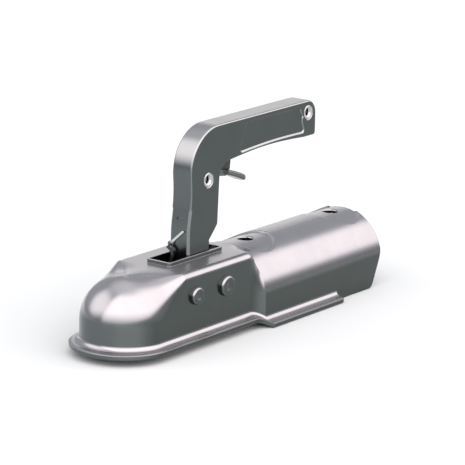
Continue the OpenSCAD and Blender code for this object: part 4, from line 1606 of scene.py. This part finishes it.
@dataclass
class Studio:
    """Pale floor, a dim room with soft lights and the camera at the photograph's angle."""

    azimuth: float = -53.47
    elevation: float = 14.559
    roll: float = -1.132
    focal_px: float = 3162.094
    image_px: float = 465.0
    side_mm: float = 69.229
    rise_mm: float = 75.091
    distance_mm: float = 2057.287
    ball_rise_mm: float = 18.5
    floor_z: float = -23.0
    floor_tone: Point3 = (0.69, 0.72, 0.715)
    room: Point3 = (0.52, 0.54, 0.59)
    room_low: Point3 = (0.2, 0.2, 0.21)
    horizon: Point = (-0.1, 0.2)
    lights: tuple[Bank | Glow, ...] = (
        Bank(),
        Glow(36.0, 76.0, 10.0, 36.0, (1.05, 1.04, 1.08)),
        Glow(130.0, 33.0, 14.0, 36.0, (1.7, 1.64, 1.68)),
        Glow(37.0, 12.5, 4.0, 12.0, (1.36, 1.33, 1.31)),
    )

    def camera(self) -> None:
        """Set the camera that the fitted view gives."""
        a, e, r = (math.radians(v) for v in (self.azimuth, self.elevation, self.roll))
        back = Vector((math.sin(a) * math.cos(e), -math.cos(a) * math.cos(e), math.sin(e)))
        right = Vector((math.cos(a), math.sin(a), 0))
        up = back.cross(right)
        place = right * self.side_mm + up * self.rise_mm + back * self.distance_mm
        place -= Vector((0, 0, self.ball_rise_mm))
        side = right * math.cos(r) - up * math.sin(r)
        top = right * math.sin(r) + up * math.cos(r)
        data = bpy.data.cameras.new("camera")
        data.lens = self.focal_px / self.image_px * data.sensor_width
        data.clip_start, data.clip_end = 0.1, 50.0
        camera = bpy.data.objects.new("camera", data)
        turn = Matrix((side, top, back)).transposed().to_4x4()
        camera.matrix_world = Matrix.Translation(place * MM) @ turn
        bpy.context.scene.collection.objects.link(camera)
        bpy.context.scene.camera = camera

    def floor(self) -> None:
        """Lay the pale floor."""
        bpy.ops.object.select_all(action="DESELECT")
        bpy.ops.mesh.primitive_plane_add(size=30.0, location=(0, 0, self.floor_z * MM))
        plane = bpy.context.object
        plane.name = "floor"
        plane.data.materials.append(self.floor_material())

    def floor_material(self) -> bpy.types.Material:
        """A pale matt floor."""
        material, _, shader = started("studio_floor")
        shader.inputs["Base Color"].default_value = rgb(*self.floor_tone)
        shader.inputs["Roughness"].default_value = 0.9
        shader.inputs["Specular IOR Level"].default_value = 0.0
        return material

    def world(self) -> None:
        """Surround the object with a dim room and its soft lights."""
        world = bpy.data.worlds.new("studio")
        bpy.context.scene.world = world
        world.use_nodes = True
        tree = world.node_tree
        way = make_node(tree, "ShaderNodeTexCoord", {}, {}, "Generated")
        light = blend(way.axis(2).ramp(*self.horizon), rgb(*self.room_low), rgb(*self.room))
        for source in self.lights:
            light = source.over(light, way)
        light.into(tree.nodes["Background"], "Color")

    def build(self) -> None:
        """Set up the whole studio."""
        self.camera()
        self.floor()
        self.world()
        bpy.context.scene.view_settings.view_transform = "Standard"


@dataclass(frozen=True)
class Place:
    """A finished piece: its body, finish and the solids that it stands for, and how a coil reaches its other body."""

    piece: bpy.types.Object
    body: str
    slot: str
    nodes: tuple[str, ...]
    reach: tuple[str, Point3, Point3] | None = None

    def settle(self) -> None:
        """Put the piece on its body in place of its solids; a coil with a reach is only baked in place, on no body.
        """
        if self.reach is None:
            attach(self.piece, self.body)
        else:
            other, start, end = self.reach
            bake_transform(self.piece, self.body, other, [v * MM for v in start], [v * MM for v in end])
        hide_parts(*self.nodes)


def sheet_parts() -> list[Place]:
    """Build the pressed body, the lever and the trigger.

    Returns:
        The pieces with their places.
    """
    trigger = Trigger()
    return [
        Place(Body().build(), "housing", "zinc_body", ("housing",)),
        Place(Lever().build(), "lever", "zinc_lever", ("lever",)),
        Place(trigger.build(), "trigger", "zinc_trigger", ("trigger",)),
        Place(trigger.pad(), "trigger", "black_plastic", ("trigger_pad",)),
    ]


def turned_parts() -> list[Place]:
    """Build pins, rivets, tubes, roller and plunger.

    Returns:
        The pieces with their places.
    """
    turned, lever, s = Turned(), Lever(), SIZES
    stem, end = lever.shift(lever.rivets)
    jaw, hub, heel = (s.jaw_x, s.pin_z), lever.pin, lever.at(lever.roller)
    wall = s.socket_r - 0.3
    tubes = (
        ("jaw_tubes", "jaw_spacers", "housing", "plain_steel", jaw, 4.55, 6.55, (15.3, wall), (-wall, -15.3)),
        ("lever_tubes", "lever_spacers", "housing", "plain_steel", hub, 5.55, 7.55, (8.3, wall), (-wall, -8.3)),
        ("hub_tube", "lever_bush", "lever", "plain_steel", hub, 5.55, 8.0, (-4.7, 4.7)),
        ("end_tube", "grip_spacer", "lever", "plain_steel", end, 3.55, 5.0, (-4.7, 4.7)),
        ("heel_axle", "roller_pin", "lever", "zinc_pin", heel, 0.0, 2.95, (-8.0, 8.0)),
        ("rod_axle", "rod_pin", "trigger", "zinc_pin", s.rod_pin, 0.0, 1.55, (-4.6, 4.6)),
        ("heel_roller", "thrust_roller", "roller", "plain_steel", heel, 3.05, 7.0, (-4.4, 4.4)),
    )
    return [
        Place(turned.headed_pin("jaw_axle", s.jaw_x, s.jaw_pin_r), "housing", "zinc_pin", ("jaw_pin",)),
        Place(turned.headed_pin("lever_axle", s.lever_x, s.lever_pin_r), "housing", "zinc_pin", ("lever_pin",)),
        Place(turned.hollow_rivet("stem_rivet", stem), "lever", "bright_rivet", ("trigger_rivet",)),
        Place(turned.hollow_rivet("end_rivet", end), "lever", "bright_rivet", ("grip_rivet",)),
        *(Place(turned.tubes(name, *sizes), body, slot, (node,)) for name, node, body, slot, *sizes in tubes),
        Place(turned.plunger(), "plunger", "plain_steel", ("thrust_plunger",)),
    ]


def wire_parts() -> list[Place]:
    """Build the coils, the feeler wire and the pointer.

    Returns:
        The pieces with their places.
    """
    wires = Wires()
    return [
        Place(wires.catch_coil(), "lever", "spring_wire", ("catch_spring",),
              ("catch", (84.75, 0.0, 66.8), (84.75, 0.0, 54.8))),
        Place(wires.trigger_coil(), "lever", "spring_wire", ("trigger_spring",)),
        Place(wires.main_coil(), "jaw", "spring_wire", ("main_spring",),
              ("plunger", (33.6, 0.0, -4.5), (44.16, 0.0, -4.5))),
        Place(wires.jaw_coil(), "housing", "spring_wire", ("jaw_spring",)),
        Place(wires.feeler(), "lever", "black_plastic", ("feeler_wire",)),
        Place(wires.pointer(), "needle", "pale_needle", ("wear_needle",)),
        Place(wires.pointer_pin(), "lever", "zinc_pin", ("needle_pin",)),
    ]


def worked_parts() -> list[Place]:
    """Break the edges of the inner solids.

    Returns:
        The pieces with their places.
    """
    solids = (("ball_jaw", 0.6, "jaw", "cast_jaw"), ("catch_bar", 0.4, "housing", "plain_steel"),
              ("catch_rod", 0.25, "catch", "plain_steel"), ("spring_seat", 0.2, "lever", "plain_steel"))
    return [Place(refined(node, width), body, slot, (node,)) for node, width, body, slot in solids]


def main() -> None:
    """Build the scene."""
    logging.basicConfig(level=logging.INFO, format="%(message)s")
    finishes = Finishes()
    finishes.dress_nodes()
    for build in (sheet_parts, turned_parts, wire_parts, worked_parts):
        for place in build():
            finishes.dress(place.piece, place.slot)
            place.settle()
            LOG.info("%s: %d faces", place.piece.name, len(place.piece.data.polygons))
    Studio().build()


if __name__ == "__main__":
    main()
